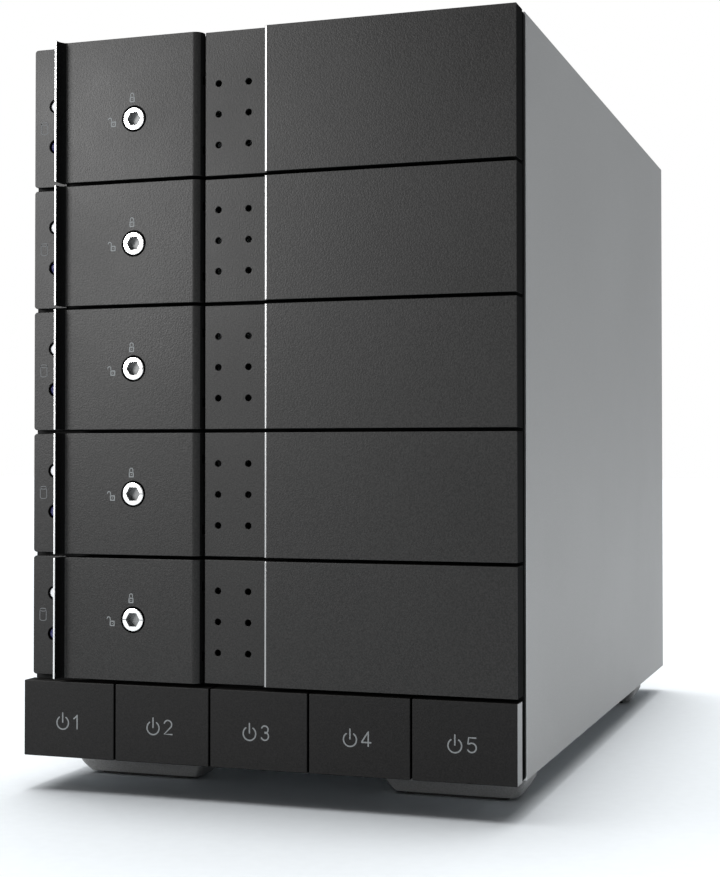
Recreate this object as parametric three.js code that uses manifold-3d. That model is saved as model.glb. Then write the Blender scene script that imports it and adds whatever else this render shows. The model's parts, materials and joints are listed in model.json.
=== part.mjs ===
// Five-bay drive enclosure: an aluminium sleeve around five pull-out drive trays, each with a hinged
// locking lever, and a row of five push buttons underneath.
//
// Millimetres, +Z up, front facing -Y. The origin is under the middle of the object, on the surface
// that it stands on. Inside the groups, y is the depth behind the plane of the bay fronts.

import * as THREE from 'three';
import { mergeVertices } from 'three/addons/utils/BufferGeometryUtils.js';
import Module from 'manifold-3d';

const wasm = await Module();
wasm.setup();

// ---------------------------------------------------------------- driving dimensions

const GAP = 0.3; // between pieces that touch

const FRONT_Y = -118.95; // plane of the bay fronts, so that lip and sleeve are centred on y = 0
const FRONT_HALF_W = 66.6; // half the width of the bay fronts
const BASE_Z = 8.95; // lower edge of the sleeve above the table

const SHELL_HALF_W = 66.85;
const SHELL_TOP = 196.98;
const SHELL_FRONT = 8.8;
const SHELL_BACK = 241.1;
const SHELL_WALL = 1.5;

const BAY_COUNT = 5;
const BAY_PITCH = 32.5;
const PANEL_H = 31.59;
const TOP_BAY_EXTRA = 5.52; // the top bay's front reaches up to the sleeve's top
const TOP_BAY_Z = 175.605; // middle of the top bay
const PANEL_CORNER_R = 1;
const PANEL_BEVEL = 0.6; // on the plain panel's left edge

const PANEL_LEFT = 1.5; // left edge of the wide plain panel
const VENT_LEFT = -15.6; // left edge of the strip with air holes
const VENT_DEPTH = 2.08;
const STRIP_RIGHT = -56.9; // right edge of the lamp strip
const STRIP_DEPTH = 4.6;
const POCKET_DEPTH = 5.1; // wall behind the lever
const BEZEL_BACK = 6.5;
const RIM_HALF_W = 56.3; // rim of the bezel inside the frame opening
const RIM_HALF_H = 13.9;
const RIM_BACK = 10.7;
const RIM_WALL = 1.6;

const AIR_HOLE_X = [-11.94, -3.63];
const AIR_HOLE_Z = [-7.9, 0, 7.9];
const AIR_HOLE_R = 0.85;
const LAMP_X = -60.35;
const LAMP_Z = [-4.95, 5.9];
const LAMP_HOLE_R = 1.87;
const LAMP_R = 1.45;
const GUIDE_HALF = 1.5; // of the bar behind a pair of lamps
const GUIDE_BAR = [10.2, 12]; // its front and back

const HINGE_X = -18.4;
const HINGE_DEPTH = 2.4; // also the radius of the lever's round end
const PIN_R = 0.7;
const PIN_BORE_R = 0.95;
const PIN_HALF = 12.5;
const LUG_Z = 9; // middle of each hinge lug above and below the bay's middle
const LUG_HALF_T = 0.9;
const LUG_ROOM = 0.3; // left free above and below each lug
const LUG_R = 1.5;
const LUG_CUT_DEPTH = 1.6; // the lever's round end is open for the lugs from here back
const LEVER_T = 2.2;
const LIP_OUT = 3.2; // how far the lip stands forward
const LIP_LEFT = -56.4;
const LOCK_X = -34.95;
const LOCK_R = 2.95;
const LOCK_HOLE_R = 3.4;
const LOCK_FLANGE_R = 4.3;
const HEX_FLATS = 3.5;
const HEX_DEPTH = 1.9;
const LOCK_CAM = { halfW: 2, low: -2, high: 8 };

const TRAY_FRONT = RIM_BACK + GAP;
const TRAY_BACK = 158;
const TRAY_HALF_W = 56.6;
const TRAY_BOTTOM = -13.9;
const TRAY_FLOOR_T = 1.4;
const DRIVE_HALF_W = 51.2; // inner faces of the tray's walls, around a 101.6 mm wide drive
const TRAY_WALL_T = 2;
const TRAY_WALL_H = 11;
const TRAY_AIR_Y = [34, 84, 134]; // middles of the openings in the tray's floor
const TRAY_AIR = { halfX: 34, halfY: 11 };
const DRIVE_SCREW = { y: [40, 124], up: 6.4, r: 1.8 };

const BUTTON_H = 19.8;
const BUTTON_Z = 18.92;
const BUTTON_DEPTH = 5.2;
const BUTTON_SLIT = 0.5;
const BUTTON_WALL = 1.4;
const BUTTON_W = (2 * FRONT_HALF_W - (BAY_COUNT - 1) * BUTTON_SLIT) / BAY_COUNT;
const BUTTON_PITCH = BUTTON_W + BUTTON_SLIT;
const STEM = 6;
const STEM_BACK = 13.4;

const FRAME_FRONT = 6.9;
const FRAME_STEP = SHELL_FRONT - GAP; // in front of this depth the frame covers the sleeve's edge
const FRAME_BACK = 9.9;
const FRAME_RIM_BACK = 18;
const FRAME_INNER_HALF_W = 65.05;
const BAY_OPENING_HALF_W = 57;
const BAY_OPENING_HALF_H = 14.4;
const STEM_ROOM = 0.5; // round each button's stem

const CAGE_X = 57.4; // inner face of the cage walls
const CAGE_WALL = 1.2;
const CAGE_FRONT = 14.2;
const CAGE_BACK = 167.7;
const CAGE_TOP = 192;
const RAIL_IN = 3; // how far the rails stand in from the cage walls
const FLANGE_X = 62.6;
const RAIL_BACK = 160;
const PLATE_T = 1.2;
const BOARD_T = 1.6;
const CAGE_BOTTOM = BASE_Z + PLATE_T + GAP;
const CAGE_AIR = { y: [50, 120], halfY: 22, low: -3, high: 9 };
const SHELF = { z: 27, front: 22, back: 164, airY: [55, 95, 135], airHalfX: 30, airHalfY: 10 };
const SOCKET = { left: -39, right: -2, low: -11.6, high: -5.6, depth: 6.3, wall: 1.5 };
const LAMP_BOARD = { left: -62.7, right: -57.9, front: GUIDE_BAR[1] + GAP, past: 12 };
const BUTTON_BOARD = { halfX: 56, front: 15.4, low: 13, high: 25, switchUp: 0.4 };

const REAR_PANEL = 236.5;
const REAR_HALF_W = 64.9;
const FAN_HALF = 60;
const FAN_T = 25;
const FAN_Z = 124;
const FAN_BORE_R = 58;
const FAN_HUB_R = 20;
const BLADE_L = 35;
const BLADE_COUNT = 7;

const FAN_CORNER_R = 4;
const BLADE_T = 1.8;
const GUARD_RINGS = [17, 31, 45, 59];
const GUARD_WIRE = 1.8;
const GUARD_SCREW = 52.5; // from the fan's middle to its screws, across and up

const REAR_FLANGE = 10;
const REAR_SLOTS = { count: 8, left: -56, pitch: 8, width: 4, low: 20, high: 44 };
const CONTROLLER = { left: -8, right: 61, front: 176, z: 19.6 };
const DATA_PORT = { x: 27, z: 25.1, halfW: 4.6, halfH: 1.7, corner: 1.6, front: 228 };
const DATA_OPENING = { halfW: 5, halfH: 2.1, corner: 2 };
const INLET = { x: 50, z: 25.2, r: 5.9, boreR: 4.7, openingR: 6.2, halfW: 6, front: 224, top: 31.2 };

const FOOT_X = 44.2;
const FOOT_DEPTHS = { front: 30.4, rear: 204.1 };
const FOOT = {
  halfX: 18.9, halfY: 7.6, corner: 1.2, taperTop: 4.9, lowShareX: 0.835, lowShareY: 0.61,
  padT: 0.8, padHalfX: 14.4, padHalfY: 3.4,
};

// ---------------------------------------------------------------- materials

function material(colour, roughness, metalness) {
  return new THREE.MeshStandardMaterial({ color: colour, roughness, metalness });
}

const looks = {
  aluminium: material(0x8f9295, 0.42, 0.85),
  steel: material(0x9a9c9e, 0.45, 0.9),
  bright: material(0xe2e2e0, 0.2, 1),
  charcoal: material(0x4a4a4b, 0.62, 0.2),
  black: material(0x101011, 0.6, 0),
  dark: material(0x1e1e20, 0.55, 0),
  tray: material(0x2b2c2e, 0.6, 0),
  lamp: material(0xdfe6f2, 0.15, 0),
  board: material(0x14402a, 0.5, 0),
  foot: material(0x5c5c5d, 0.7, 0),
};

// ---------------------------------------------------------------- solids

// A closed geometry as a manifold solid.
function toSolid(geometry) {
  const plain = geometry.index ? geometry.toNonIndexed() : geometry.clone();
  plain.deleteAttribute('normal');
  plain.deleteAttribute('uv');
  const merged = mergeVertices(plain, 1e-4);
  return new wasm.Manifold(new wasm.Mesh({
    numProp: 3,
    vertProperties: new Float32Array(merged.attributes.position.array),
    triVerts: new Uint32Array(merged.index.array),
  }));
}

function toGeometry(solid) {
  const mesh = solid.getMesh();
  const geometry = new THREE.BufferGeometry();
  geometry.setAttribute('position', new THREE.BufferAttribute(mesh.vertProperties, 3));
  geometry.setIndex(new THREE.BufferAttribute(mesh.triVerts, 1));
  geometry.computeVertexNormals();
  return geometry;
}

function join(...solids) {
  return solids.reduce((sum, next) => sum.add(next));
}

function cut(solid, ...tools) {
  return tools.reduce((rest, tool) => rest.subtract(tool), solid);
}

// A block between two corners.
function block(x0, x1, y0, y1, z0, z1) {
  const geometry = new THREE.BoxGeometry(x1 - x0, y1 - y0, z1 - z0);
  geometry.translate((x0 + x1) / 2, (y0 + y1) / 2, (z0 + z1) / 2);
  return toSolid(geometry);
}

// A round rod along y, between two depths.
function rodY(radius, x, z, y0, y1, sides = 16, turn = 0) {
  const geometry = new THREE.CylinderGeometry(radius, radius, y1 - y0, sides);
  geometry.rotateY(turn);
  geometry.translate(x, (y0 + y1) / 2, z);
  return toSolid(geometry);
}

// A round rod along x.
function rodX(radius, y, z, x0, x1, sides = 16) {
  const geometry = new THREE.CylinderGeometry(radius, radius, x1 - x0, sides);
  geometry.rotateZ(Math.PI / 2);
  geometry.translate((x0 + x1) / 2, y, z);
  return toSolid(geometry);
}

// A round rod along z.
function rodZ(radius, x, y, z0, z1, sides = 16) {
  const geometry = new THREE.CylinderGeometry(radius, radius, z1 - z0, sides);
  geometry.rotateX(Math.PI / 2);
  geometry.translate(x, y, (z0 + z1) / 2);
  return toSolid(geometry);
}

// An outline seen from above, extruded upwards.
function upright(shape, z0, z1, curveSegments = 6) {
  const geometry = new THREE.ExtrudeGeometry(shape, { depth: z1 - z0, bevelEnabled: false, curveSegments });
  geometry.translate(0, 0, z0);
  return toSolid(geometry);
}

// A block given by the distances of its faces from a middle point, in x and z.
function centred(x, z, halfX, halfZ, y0, y1) {
  return block(x - halfX, x + halfX, y0, y1, z - halfZ, z + halfZ);
}

// An outline seen from the front, extruded backwards.
function plate(shape, y0, y1, curveSegments = 6) {
  const geometry = new THREE.ExtrudeGeometry(shape, { depth: y1 - y0, bevelEnabled: false, curveSegments });
  geometry.rotateX(Math.PI / 2);
  geometry.translate(0, y1, 0);
  return toSolid(geometry);
}

function polygon(points) {
  return new THREE.Shape(points.map(([x, y]) => new THREE.Vector2(x, y)));
}

function roundedRect(x0, x1, y0, y1, r) {
  const shape = new THREE.Shape();
  shape.moveTo(x0 + r, y0);
  shape.lineTo(x1 - r, y0);
  shape.absarc(x1 - r, y0 + r, r, -Math.PI / 2, 0, false);
  shape.lineTo(x1, y1 - r);
  shape.absarc(x1 - r, y1 - r, r, 0, Math.PI / 2, false);
  shape.lineTo(x0 + r, y1);
  shape.absarc(x0 + r, y1 - r, r, Math.PI / 2, Math.PI, false);
  shape.lineTo(x0, y0 + r);
  shape.absarc(x0 + r, y0 + r, r, Math.PI, Math.PI * 1.5, false);
  return shape;
}

function piece(parent, name, solid, look) {
  const mesh = new THREE.Mesh(toGeometry(solid), look);
  mesh.name = name;
  parent.add(mesh);
  return mesh;
}

// ---------------------------------------------------------------- one bay

// Front moulding: plain panel, air strip, lever pocket and lamp strip in one, with a rim behind.
function bezelSolid(top) {
  const low = -PANEL_H / 2;
  const outline = polygon([
    [-FRONT_HALF_W, BEZEL_BACK], [-FRONT_HALF_W, STRIP_DEPTH], [STRIP_RIGHT, STRIP_DEPTH],
    [STRIP_RIGHT, POCKET_DEPTH], [VENT_LEFT, POCKET_DEPTH], [VENT_LEFT, VENT_DEPTH],
    [PANEL_LEFT, VENT_DEPTH], [PANEL_LEFT, PANEL_BEVEL], [PANEL_LEFT + PANEL_BEVEL, 0],
    [FRONT_HALF_W, 0], [FRONT_HALF_W, BEZEL_BACK],
  ]);
  const face = roundedRect(-FRONT_HALF_W, FRONT_HALF_W, low, top, PANEL_CORNER_R);
  const front = upright(outline, low, top).intersect(plate(face, -1, BEZEL_BACK + 1, 2));
  const rim = centred(0, 0, RIM_HALF_W, RIM_HALF_H, BEZEL_BACK - 1, RIM_BACK);
  const inW = RIM_HALF_W - RIM_WALL;
  const inH = RIM_HALF_H - RIM_WALL;
  const airHoles = AIR_HOLE_X.flatMap((x) => (
    AIR_HOLE_Z.map((z) => rodY(AIR_HOLE_R, x, z, 0, BEZEL_BACK, 8))
  ));
  const lampHoles = LAMP_Z.map((z) => (
    rodY(LAMP_HOLE_R, LAMP_X, z, STRIP_DEPTH - 1, BEZEL_BACK + 1, 14)
  ));
  const hollow = join(
    centred(0, 0, inW, inH, BEZEL_BACK, RIM_BACK + 1),
    block(PANEL_LEFT + 2, inW, 2, BEZEL_BACK + 1, -inH, inH),
    block(VENT_LEFT + RIM_WALL, PANEL_LEFT, VENT_DEPTH + 1.5, BEZEL_BACK + 1, -inH, inH),
    block(RIM_HALF_W + 1, FRONT_HALF_W - RIM_WALL, 2, BEZEL_BACK + 1, -inH, inH),
  );
  return join(cut(join(front, rim), hollow, ...airHoles, ...lampHoles), ...lugSolids());
}

// Two lugs that stand out of the pocket wall and hold the hinge pin.
function lugSolids() {
  return [-LUG_Z, LUG_Z].map((z) => {
    const z0 = z - LUG_HALF_T;
    const z1 = z + LUG_HALF_T;
    const head = rodZ(LUG_R, HINGE_X, HINGE_DEPTH, z0, z1, 12);
    const arm = block(HINGE_X - 1, HINGE_X + 0.8, HINGE_DEPTH, POCKET_DEPTH + 0.5, z0, z1);
    return cut(join(head, arm), rodZ(PIN_BORE_R, HINGE_X, HINGE_DEPTH, z0 - 1, z1 + 1, 10));
  });
}

// Pull lever: flat face, out-turned lip at the left, round hinge end at the right.
function leverSolid(top) {
  const low = -PANEL_H / 2;
  const r = HINGE_DEPTH;
  const shape = new THREE.Shape();
  shape.moveTo(LIP_LEFT, -LIP_OUT);
  shape.lineTo(LIP_LEFT + 0.55, -LIP_OUT);
  shape.bezierCurveTo(LIP_LEFT + 0.65, -1.2, LIP_LEFT + 1, -0.2, LIP_LEFT + 2.2, 0);
  shape.lineTo(HINGE_X, 0);
  shape.absarc(HINGE_X, HINGE_DEPTH, r, -Math.PI / 2, Math.PI * 0.96, false);
  shape.lineTo(HINGE_X - r, LEVER_T);
  shape.lineTo(LIP_LEFT + 1.5, LEVER_T);
  shape.quadraticCurveTo(LIP_LEFT, LEVER_T, LIP_LEFT, LEVER_T - 1.5);
  const body = upright(shape, low, top, 5);
  const lugRooms = [-LUG_Z, LUG_Z].flatMap((z) => {
    const z0 = z - LUG_HALF_T - LUG_ROOM;
    const z1 = z + LUG_HALF_T + LUG_ROOM;
    return [
      rodZ(LUG_R + 0.3, HINGE_X, HINGE_DEPTH, z0, z1, 12),
      block(HINGE_X - 2.2, HINGE_X + 4, LUG_CUT_DEPTH, 8, z0, z1),
    ];
  });
  const bore = rodZ(PIN_BORE_R, HINGE_X, HINGE_DEPTH, -PIN_HALF - 0.4, PIN_HALF + 0.4, 10);
  const lockHole = rodY(LOCK_HOLE_R, LOCK_X, 0, -2, 4, 20);
  return cut(body, bore, lockHole, ...lugRooms);
}

// Key lock: round head with a hexagon socket, a flange behind the lever and a short cam.
function lockSolid() {
  const flangeFront = LEVER_T + GAP;
  const flangeBack = flangeFront + 0.8;
  const { halfW, low, high } = LOCK_CAM;
  const head = rodY(LOCK_R, LOCK_X, 0, -0.1, flangeFront, 20);
  const flange = rodY(LOCK_FLANGE_R, LOCK_X, 0, flangeFront, flangeBack, 16);
  const cam = block(LOCK_X - halfW, LOCK_X + halfW, flangeBack - 0.1, POCKET_DEPTH - 0.6, low, high);
  const socket = rodY(HEX_FLATS / Math.sqrt(3), LOCK_X, 0, -1, HEX_DEPTH, 6, Math.PI / 6);
  return cut(join(head, flange, cam), socket);
}

// Clear light guide: two round prongs on a bar behind the frame.
function lightGuideSolid() {
  const low = LAMP_Z[0] - GUIDE_HALF;
  const high = LAMP_Z[1] + GUIDE_HALF;
  const bar = block(LAMP_X - GUIDE_HALF, LAMP_X + GUIDE_HALF, ...GUIDE_BAR, low, high);
  const prongs = LAMP_Z.map((z) => rodY(LAMP_R, LAMP_X, z, 5.6, GUIDE_BAR[0] + 0.3, 10));
  return join(bar, ...prongs);
}

// Drive tray: floor with runners and air openings, and two side walls with holes for the drive's screws.
function traySolid() {
  const floorTop = TRAY_BOTTOM + TRAY_FLOOR_T;
  const floor = block(-TRAY_HALF_W, TRAY_HALF_W, TRAY_FRONT, TRAY_BACK, TRAY_BOTTOM, floorTop);
  const outerX = DRIVE_HALF_W + TRAY_WALL_T;
  const wallTop = floorTop + TRAY_WALL_H;
  const walls = [[-outerX, -DRIVE_HALF_W], [DRIVE_HALF_W, outerX]]
    .map(([x0, x1]) => block(x0, x1, TRAY_FRONT, TRAY_BACK, TRAY_BOTTOM, wallTop));
  const { halfX, halfY } = TRAY_AIR;
  const air = TRAY_AIR_Y.map((y) => (
    block(-halfX, halfX, y - halfY, y + halfY, TRAY_BOTTOM - 1, floorTop + 1)
  ));
  const screwHoles = DRIVE_SCREW.y.map((y) => (
    rodX(DRIVE_SCREW.r, y, floorTop + DRIVE_SCREW.up, -TRAY_HALF_W, TRAY_HALF_W, 6)
  ));
  return cut(join(floor, ...walls), ...air, ...screwHoles);
}

function addBay(parent, number) {
  const bay = new THREE.Group();
  bay.position.z = TOP_BAY_Z - BAY_PITCH * (number - 1);
  parent.add(bay);
  const top = PANEL_H / 2 + (number === 1 ? TOP_BAY_EXTRA : 0);
  piece(bay, `tray_sled_${number}`, traySolid(), looks.tray);
  piece(bay, `tray_bezel_${number}`, bezelSolid(top), looks.charcoal);
  piece(bay, `tray_lever_${number}`, leverSolid(top), looks.charcoal);
  piece(bay, `lever_pin_${number}`, rodZ(PIN_R, HINGE_X, HINGE_DEPTH, -PIN_HALF, PIN_HALF, 10), looks.steel);
  piece(bay, `lock_cylinder_${number}`, lockSolid(), looks.bright);
  piece(bay, `light_guide_${number}`, lightGuideSolid(), looks.lamp);
  piece(bay, `drive_socket_${number}`, driveSocketSolid(), looks.black);
}

// Drive socket on the backplane: a long block with a slot for the drive's two tongues.
function driveSocketSolid() {
  const { left, right, low, high, depth, wall } = SOCKET;
  const back = CAGE_BACK - 0.1;
  const body = block(left, right, back - depth, back, low, high);
  return cut(body, block(left + wall, right - wall, back - depth - 1, back - 2, low + 1.7, high - 1.7));
}

// ---------------------------------------------------------------- push buttons

function addButton(parent, number) {
  const button = new THREE.Group();
  button.position.x = (number - (BAY_COUNT + 1) / 2) * BUTTON_PITCH;
  button.position.z = BUTTON_Z;
  parent.add(button);
  const w = BUTTON_W / 2;
  const h = BUTTON_H / 2;
  const cap = cut(
    plate(roundedRect(-w, w, -h, h, 0.4), 0, BUTTON_DEPTH, 2),
    centred(0, 0, w - BUTTON_WALL, h - BUTTON_WALL, BUTTON_WALL, BUTTON_DEPTH + 1),
  );
  const stem = centred(0, 0, STEM / 2, STEM / 2, BUTTON_WALL - 0.5, STEM_BACK);
  piece(button, `power_button_${number}`, join(cap, stem), looks.dark);
}

// ---------------------------------------------------------------- chassis

// Folded sleeve: top and two sides.
function shellSolid() {
  const outer = block(-SHELL_HALF_W, SHELL_HALF_W, SHELL_FRONT, SHELL_BACK, BASE_Z, SHELL_TOP);
  const inX = SHELL_HALF_W - SHELL_WALL;
  return cut(outer, block(-inX, inX, SHELL_FRONT - 1, SHELL_BACK + 1, BASE_Z - 1, SHELL_TOP - SHELL_WALL));
}

// Base plate with a turned-up flange along each side.
function basePlateSolid() {
  const top = BASE_Z + PLATE_T;
  const floor = block(-REAR_HALF_W, REAR_HALF_W, SHELL_FRONT + GAP, SHELL_BACK - GAP, BASE_Z, top);
  const inX = REAR_HALF_W - PLATE_T;
  const flanges = [[-REAR_HALF_W, -inX], [inX, REAR_HALF_W]]
    .map(([x0, x1]) => block(x0, x1, 22, 225, BASE_Z, BASE_Z + 11));
  const slots = [78, 98, 118, 138].map((y) => block(-30, 30, y, y + 8, BASE_Z - 1, top + 1));
  return cut(join(floor, ...flanges), ...slots);
}

// Black front frame: covers the sleeve's front edge and guides trays, buttons and light guides.
function frameSolid() {
  const high = SHELL_TOP - SHELL_WALL - GAP;
  const rimX = FRAME_INNER_HALF_W;
  const outline = roundedRect(-SHELL_HALF_W, SHELL_HALF_W, BASE_Z, SHELL_TOP, 1.5);
  const face = plate(outline, FRAME_FRONT, FRAME_STEP, 4);
  const insert = block(-rimX, rimX, FRAME_STEP - 0.5, FRAME_RIM_BACK, CAGE_BOTTOM, high);
  const rimRoom = block(-rimX + 2, rimX - 2, FRAME_BACK, FRAME_RIM_BACK + 1, CAGE_BOTTOM + 2, high - 2);
  const through = [FRAME_FRONT - 1, FRAME_RIM_BACK + 1];
  const holes = [];
  for (let bay = 0; bay < BAY_COUNT; bay += 1) {
    const z = TOP_BAY_Z - BAY_PITCH * bay;
    const lampMiddle = z + (LAMP_Z[0] + LAMP_Z[1]) / 2;
    const lampHalfH = (LAMP_Z[1] - LAMP_Z[0]) / 2 + LAMP_HOLE_R;
    const stemX = (bay - (BAY_COUNT - 1) / 2) * BUTTON_PITCH;
    const stemHalf = STEM / 2 + STEM_ROOM;
    holes.push(centred(0, z, BAY_OPENING_HALF_W, BAY_OPENING_HALF_H, ...through));
    holes.push(centred(LAMP_X, lampMiddle, LAMP_HOLE_R, lampHalfH, FRAME_FRONT - 1, FRAME_BACK + 1));
    holes.push(centred(stemX, BUTTON_Z, stemHalf, stemHalf, ...through));
  }
  return cut(join(face, insert), rimRoom, ...holes);
}

// Cage wall with a rail below and above every tray runner, windows, and a flange at each end.
// side is -1 for the left wall and 1 for the right one.
function cageWallSolid(side) {
  const across = (near, far) => (side > 0 ? [near, far] : [-far, -near]);
  const wallX = across(CAGE_X, CAGE_X + CAGE_WALL);
  const overFrame = CAGE_BOTTOM + 2 + GAP; // in front, the sheet starts above the frame's rim
  const sheet = join(
    block(...wallX, CAGE_FRONT, CAGE_BACK, overFrame, CAGE_TOP),
    block(...wallX, FRAME_RIM_BACK + GAP, CAGE_BACK, CAGE_BOTTOM, overFrame + 1),
  );
  const flangeX = across(CAGE_X, FLANGE_X);
  const flanges = [[CAGE_FRONT, CAGE_FRONT + CAGE_WALL], [CAGE_BACK - CAGE_WALL, CAGE_BACK]]
    .map(([y0, y1]) => block(...flangeX, y0, y1, BASE_Z + 12, CAGE_TOP));
  const railX = across(CAGE_X - RAIL_IN, CAGE_X + 0.5);
  const rails = [];
  const windows = [];
  for (let bay = 0; bay < BAY_COUNT; bay += 1) {
    const z = TOP_BAY_Z - BAY_PITCH * bay;
    const runner = z + TRAY_BOTTOM;
    const runnerTop = runner + TRAY_FLOOR_T;
    rails.push(block(...railX, CAGE_FRONT, RAIL_BACK, runner - 1.6, runner - GAP));
    rails.push(block(...railX, CAGE_FRONT, RAIL_BACK, runnerTop + 0.5, runnerTop + 1.7));
    for (const y of CAGE_AIR.y) {
      const { halfY, low, high } = CAGE_AIR;
      windows.push(block(...across(CAGE_X - 1, FLANGE_X), y - halfY, y + halfY, z + low, z + high));
    }
  }
  return cut(join(sheet, ...flanges, ...rails), ...windows);
}

// Shelf under the lowest bay.
function cageShelfSolid() {
  const { z, front, back, airY, airHalfX, airHalfY } = SHELF;
  const w = CAGE_X - GAP;
  const air = airY.map((y) => block(-airHalfX, airHalfX, y - airHalfY, y + airHalfY, z - 1, z + 3));
  return cut(block(-w, w, front, back, z, z + PLATE_T), ...air);
}

// Backplane with slots for air between the drive sockets.
function backplaneSolid() {
  const y0 = CAGE_BACK + GAP;
  const y1 = y0 + BOARD_T;
  const board = block(-FLANGE_X, FLANGE_X, y0, y1, SHELF.z, CAGE_TOP);
  const slots = [];
  for (let bay = 0; bay < BAY_COUNT; bay += 1) {
    const z = TOP_BAY_Z - BAY_PITCH * bay;
    slots.push(block(-50, 50, y0 - 1, y1 + 1, z - 1, z + 11));
  }
  return cut(board, ...slots);
}

// Narrow upright board behind the light guides.
function lampBoardSolid() {
  const { left, right, front, past } = LAMP_BOARD;
  const lowest = TOP_BAY_Z - BAY_PITCH * (BAY_COUNT - 1);
  return block(left, right, front, front + BOARD_T, lowest - past, TOP_BAY_Z + past);
}

// Button board with one switch body behind each stem.
function buttonBoardSolid() {
  const { halfX, front, low, high, switchUp } = BUTTON_BOARD;
  const board = block(-halfX, halfX, front, front + BOARD_T, low, high);
  const switches = [];
  for (let number = 0; number < BAY_COUNT; number += 1) {
    const x = (number - (BAY_COUNT - 1) / 2) * BUTTON_PITCH;
    const atEnd = number === 0 || number === BAY_COUNT - 1;
    switches.push(centred(x, BUTTON_Z, atEnd ? 2.4 : 3, 3, front - switchUp, front + 0.2));
  }
  return join(board, ...switches);
}

// Rear panel: fan opening, ports, air slots and forward flanges.
function rearPanelSolid() {
  const y0 = REAR_PANEL;
  const y1 = REAR_PANEL + PLATE_T;
  const high = SHELL_TOP - SHELL_WALL - 0.5;
  const sheet = block(-REAR_HALF_W, REAR_HALF_W, y0, y1, CAGE_BOTTOM, high);
  const inX = REAR_HALF_W - PLATE_T;
  const flanges = [[-REAR_HALF_W, -inX], [inX, REAR_HALF_W]]
    .map(([x0, x1]) => block(x0, x1, y0 - REAR_FLANGE, y1, CAGE_BOTTOM, high));
  const fanHole = rodY(FAN_BORE_R - 1, 0, FAN_Z, y0 - 1, y1 + 1, 32);
  const ports = [
    oval(DATA_PORT, DATA_OPENING, y0 - 1, y1 + 1, 4),
    rodY(INLET.openingR, INLET.x, INLET.z, y0 - 1, y1 + 1, 20),
  ];
  const slots = [];
  for (let n = 0; n < REAR_SLOTS.count; n += 1) {
    const x = REAR_SLOTS.left + n * REAR_SLOTS.pitch;
    slots.push(block(x, x + REAR_SLOTS.width, y0 - 1, y1 + 1, REAR_SLOTS.low, REAR_SLOTS.high));
  }
  return cut(join(sheet, ...flanges), fanHole, ...ports, ...slots);
}

// ---------------------------------------------------------------- electronics at the rear

function controllerBoardSolid() {
  const { left, right, front, z } = CONTROLLER;
  const board = block(left, right, front, REAR_PANEL - 0.8, z, z + BOARD_T);
  const chips = [block(10, 26, 196, 212, z + 0.4, z + 3.4), block(36, 46, 186, 196, z + 0.4, z + 2.8)];
  return join(board, ...chips);
}

// A rounded rectangle about a port's middle, extruded backwards.
function oval({ x, z }, { halfW, halfH, corner }, y0, y1, curveSegments) {
  const outline = roundedRect(x - halfW, x + halfW, z - halfH, z + halfH, corner);
  return plate(outline, y0, y1, curveSegments);
}

// Data port: an oval metal shell that ends in the rear panel's opening, with a tongue inside.
function dataPortSolid() {
  const { x, z, halfW, halfH, corner, front } = DATA_PORT;
  const wall = 0.4;
  const inner = { halfW: halfW - wall, halfH: halfH - wall, corner: corner - wall };
  const outer = oval(DATA_PORT, DATA_PORT, front, REAR_PANEL + 0.9, 2);
  const boardTop = CONTROLLER.z + BOARD_T;
  const foot = block(x - 3.5, x + 3.5, front, front + 7, boardTop + GAP, z - 1);
  const mouth = oval(DATA_PORT, inner, front + 2, REAR_PANEL + 2, 2);
  const tongue = centred(x, z, 3.2, 0.3, front + 1, REAR_PANEL + 0.4);
  return join(cut(join(outer, foot), mouth), tongue);
}

// Power inlet: a round socket in a block on the controller board.
function powerInletSolid() {
  const { x, z, r, boreR, halfW, front, top } = INLET;
  const bottom = CONTROLLER.z + BOARD_T + GAP;
  const base = block(x - halfW, x + halfW, front, REAR_PANEL - GAP, bottom, top);
  const collar = rodY(r, x, z, front + 4, REAR_PANEL + 1, 20);
  const under = block(x - 10, x + 10, front - 1, REAR_PANEL + 2, bottom - 10, bottom);
  return cut(join(base, collar), under, rodY(boreR, x, z, front + 3, REAR_PANEL + 2, 20));
}

// ---------------------------------------------------------------- fan

// A bar through the fan's middle, turned about the depth axis.
function fanBar(length, depth, width, turn, y) {
  const geometry = new THREE.BoxGeometry(length, depth, width);
  geometry.rotateY(turn);
  geometry.translate(0, y, FAN_Z);
  return toSolid(geometry);
}

function fanFrameSolid() {
  const y1 = REAR_PANEL - GAP;
  const y0 = y1 - FAN_T;
  const outline = roundedRect(-FAN_HALF, FAN_HALF, FAN_Z - FAN_HALF, FAN_Z + FAN_HALF, FAN_CORNER_R);
  const bore = rodY(FAN_BORE_R, 0, FAN_Z, y0 - 1, y1 + 1, 32);
  const spokes = [1, 3].map((n) => fanBar(2 * FAN_BORE_R + 2, 3, 3.4, (n * Math.PI) / 4, y1 - 2.2));
  const stator = rodY(FAN_HUB_R, 0, FAN_Z, y1 - 5, y1 - 0.7, 24);
  const shaftHole = rodY(2.3, 0, FAN_Z, y1 - 6, y1 - 2.5, 12);
  return cut(join(cut(plate(outline, y0, y1, 3), bore), ...spokes, stator), shaftHole);
}

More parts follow.
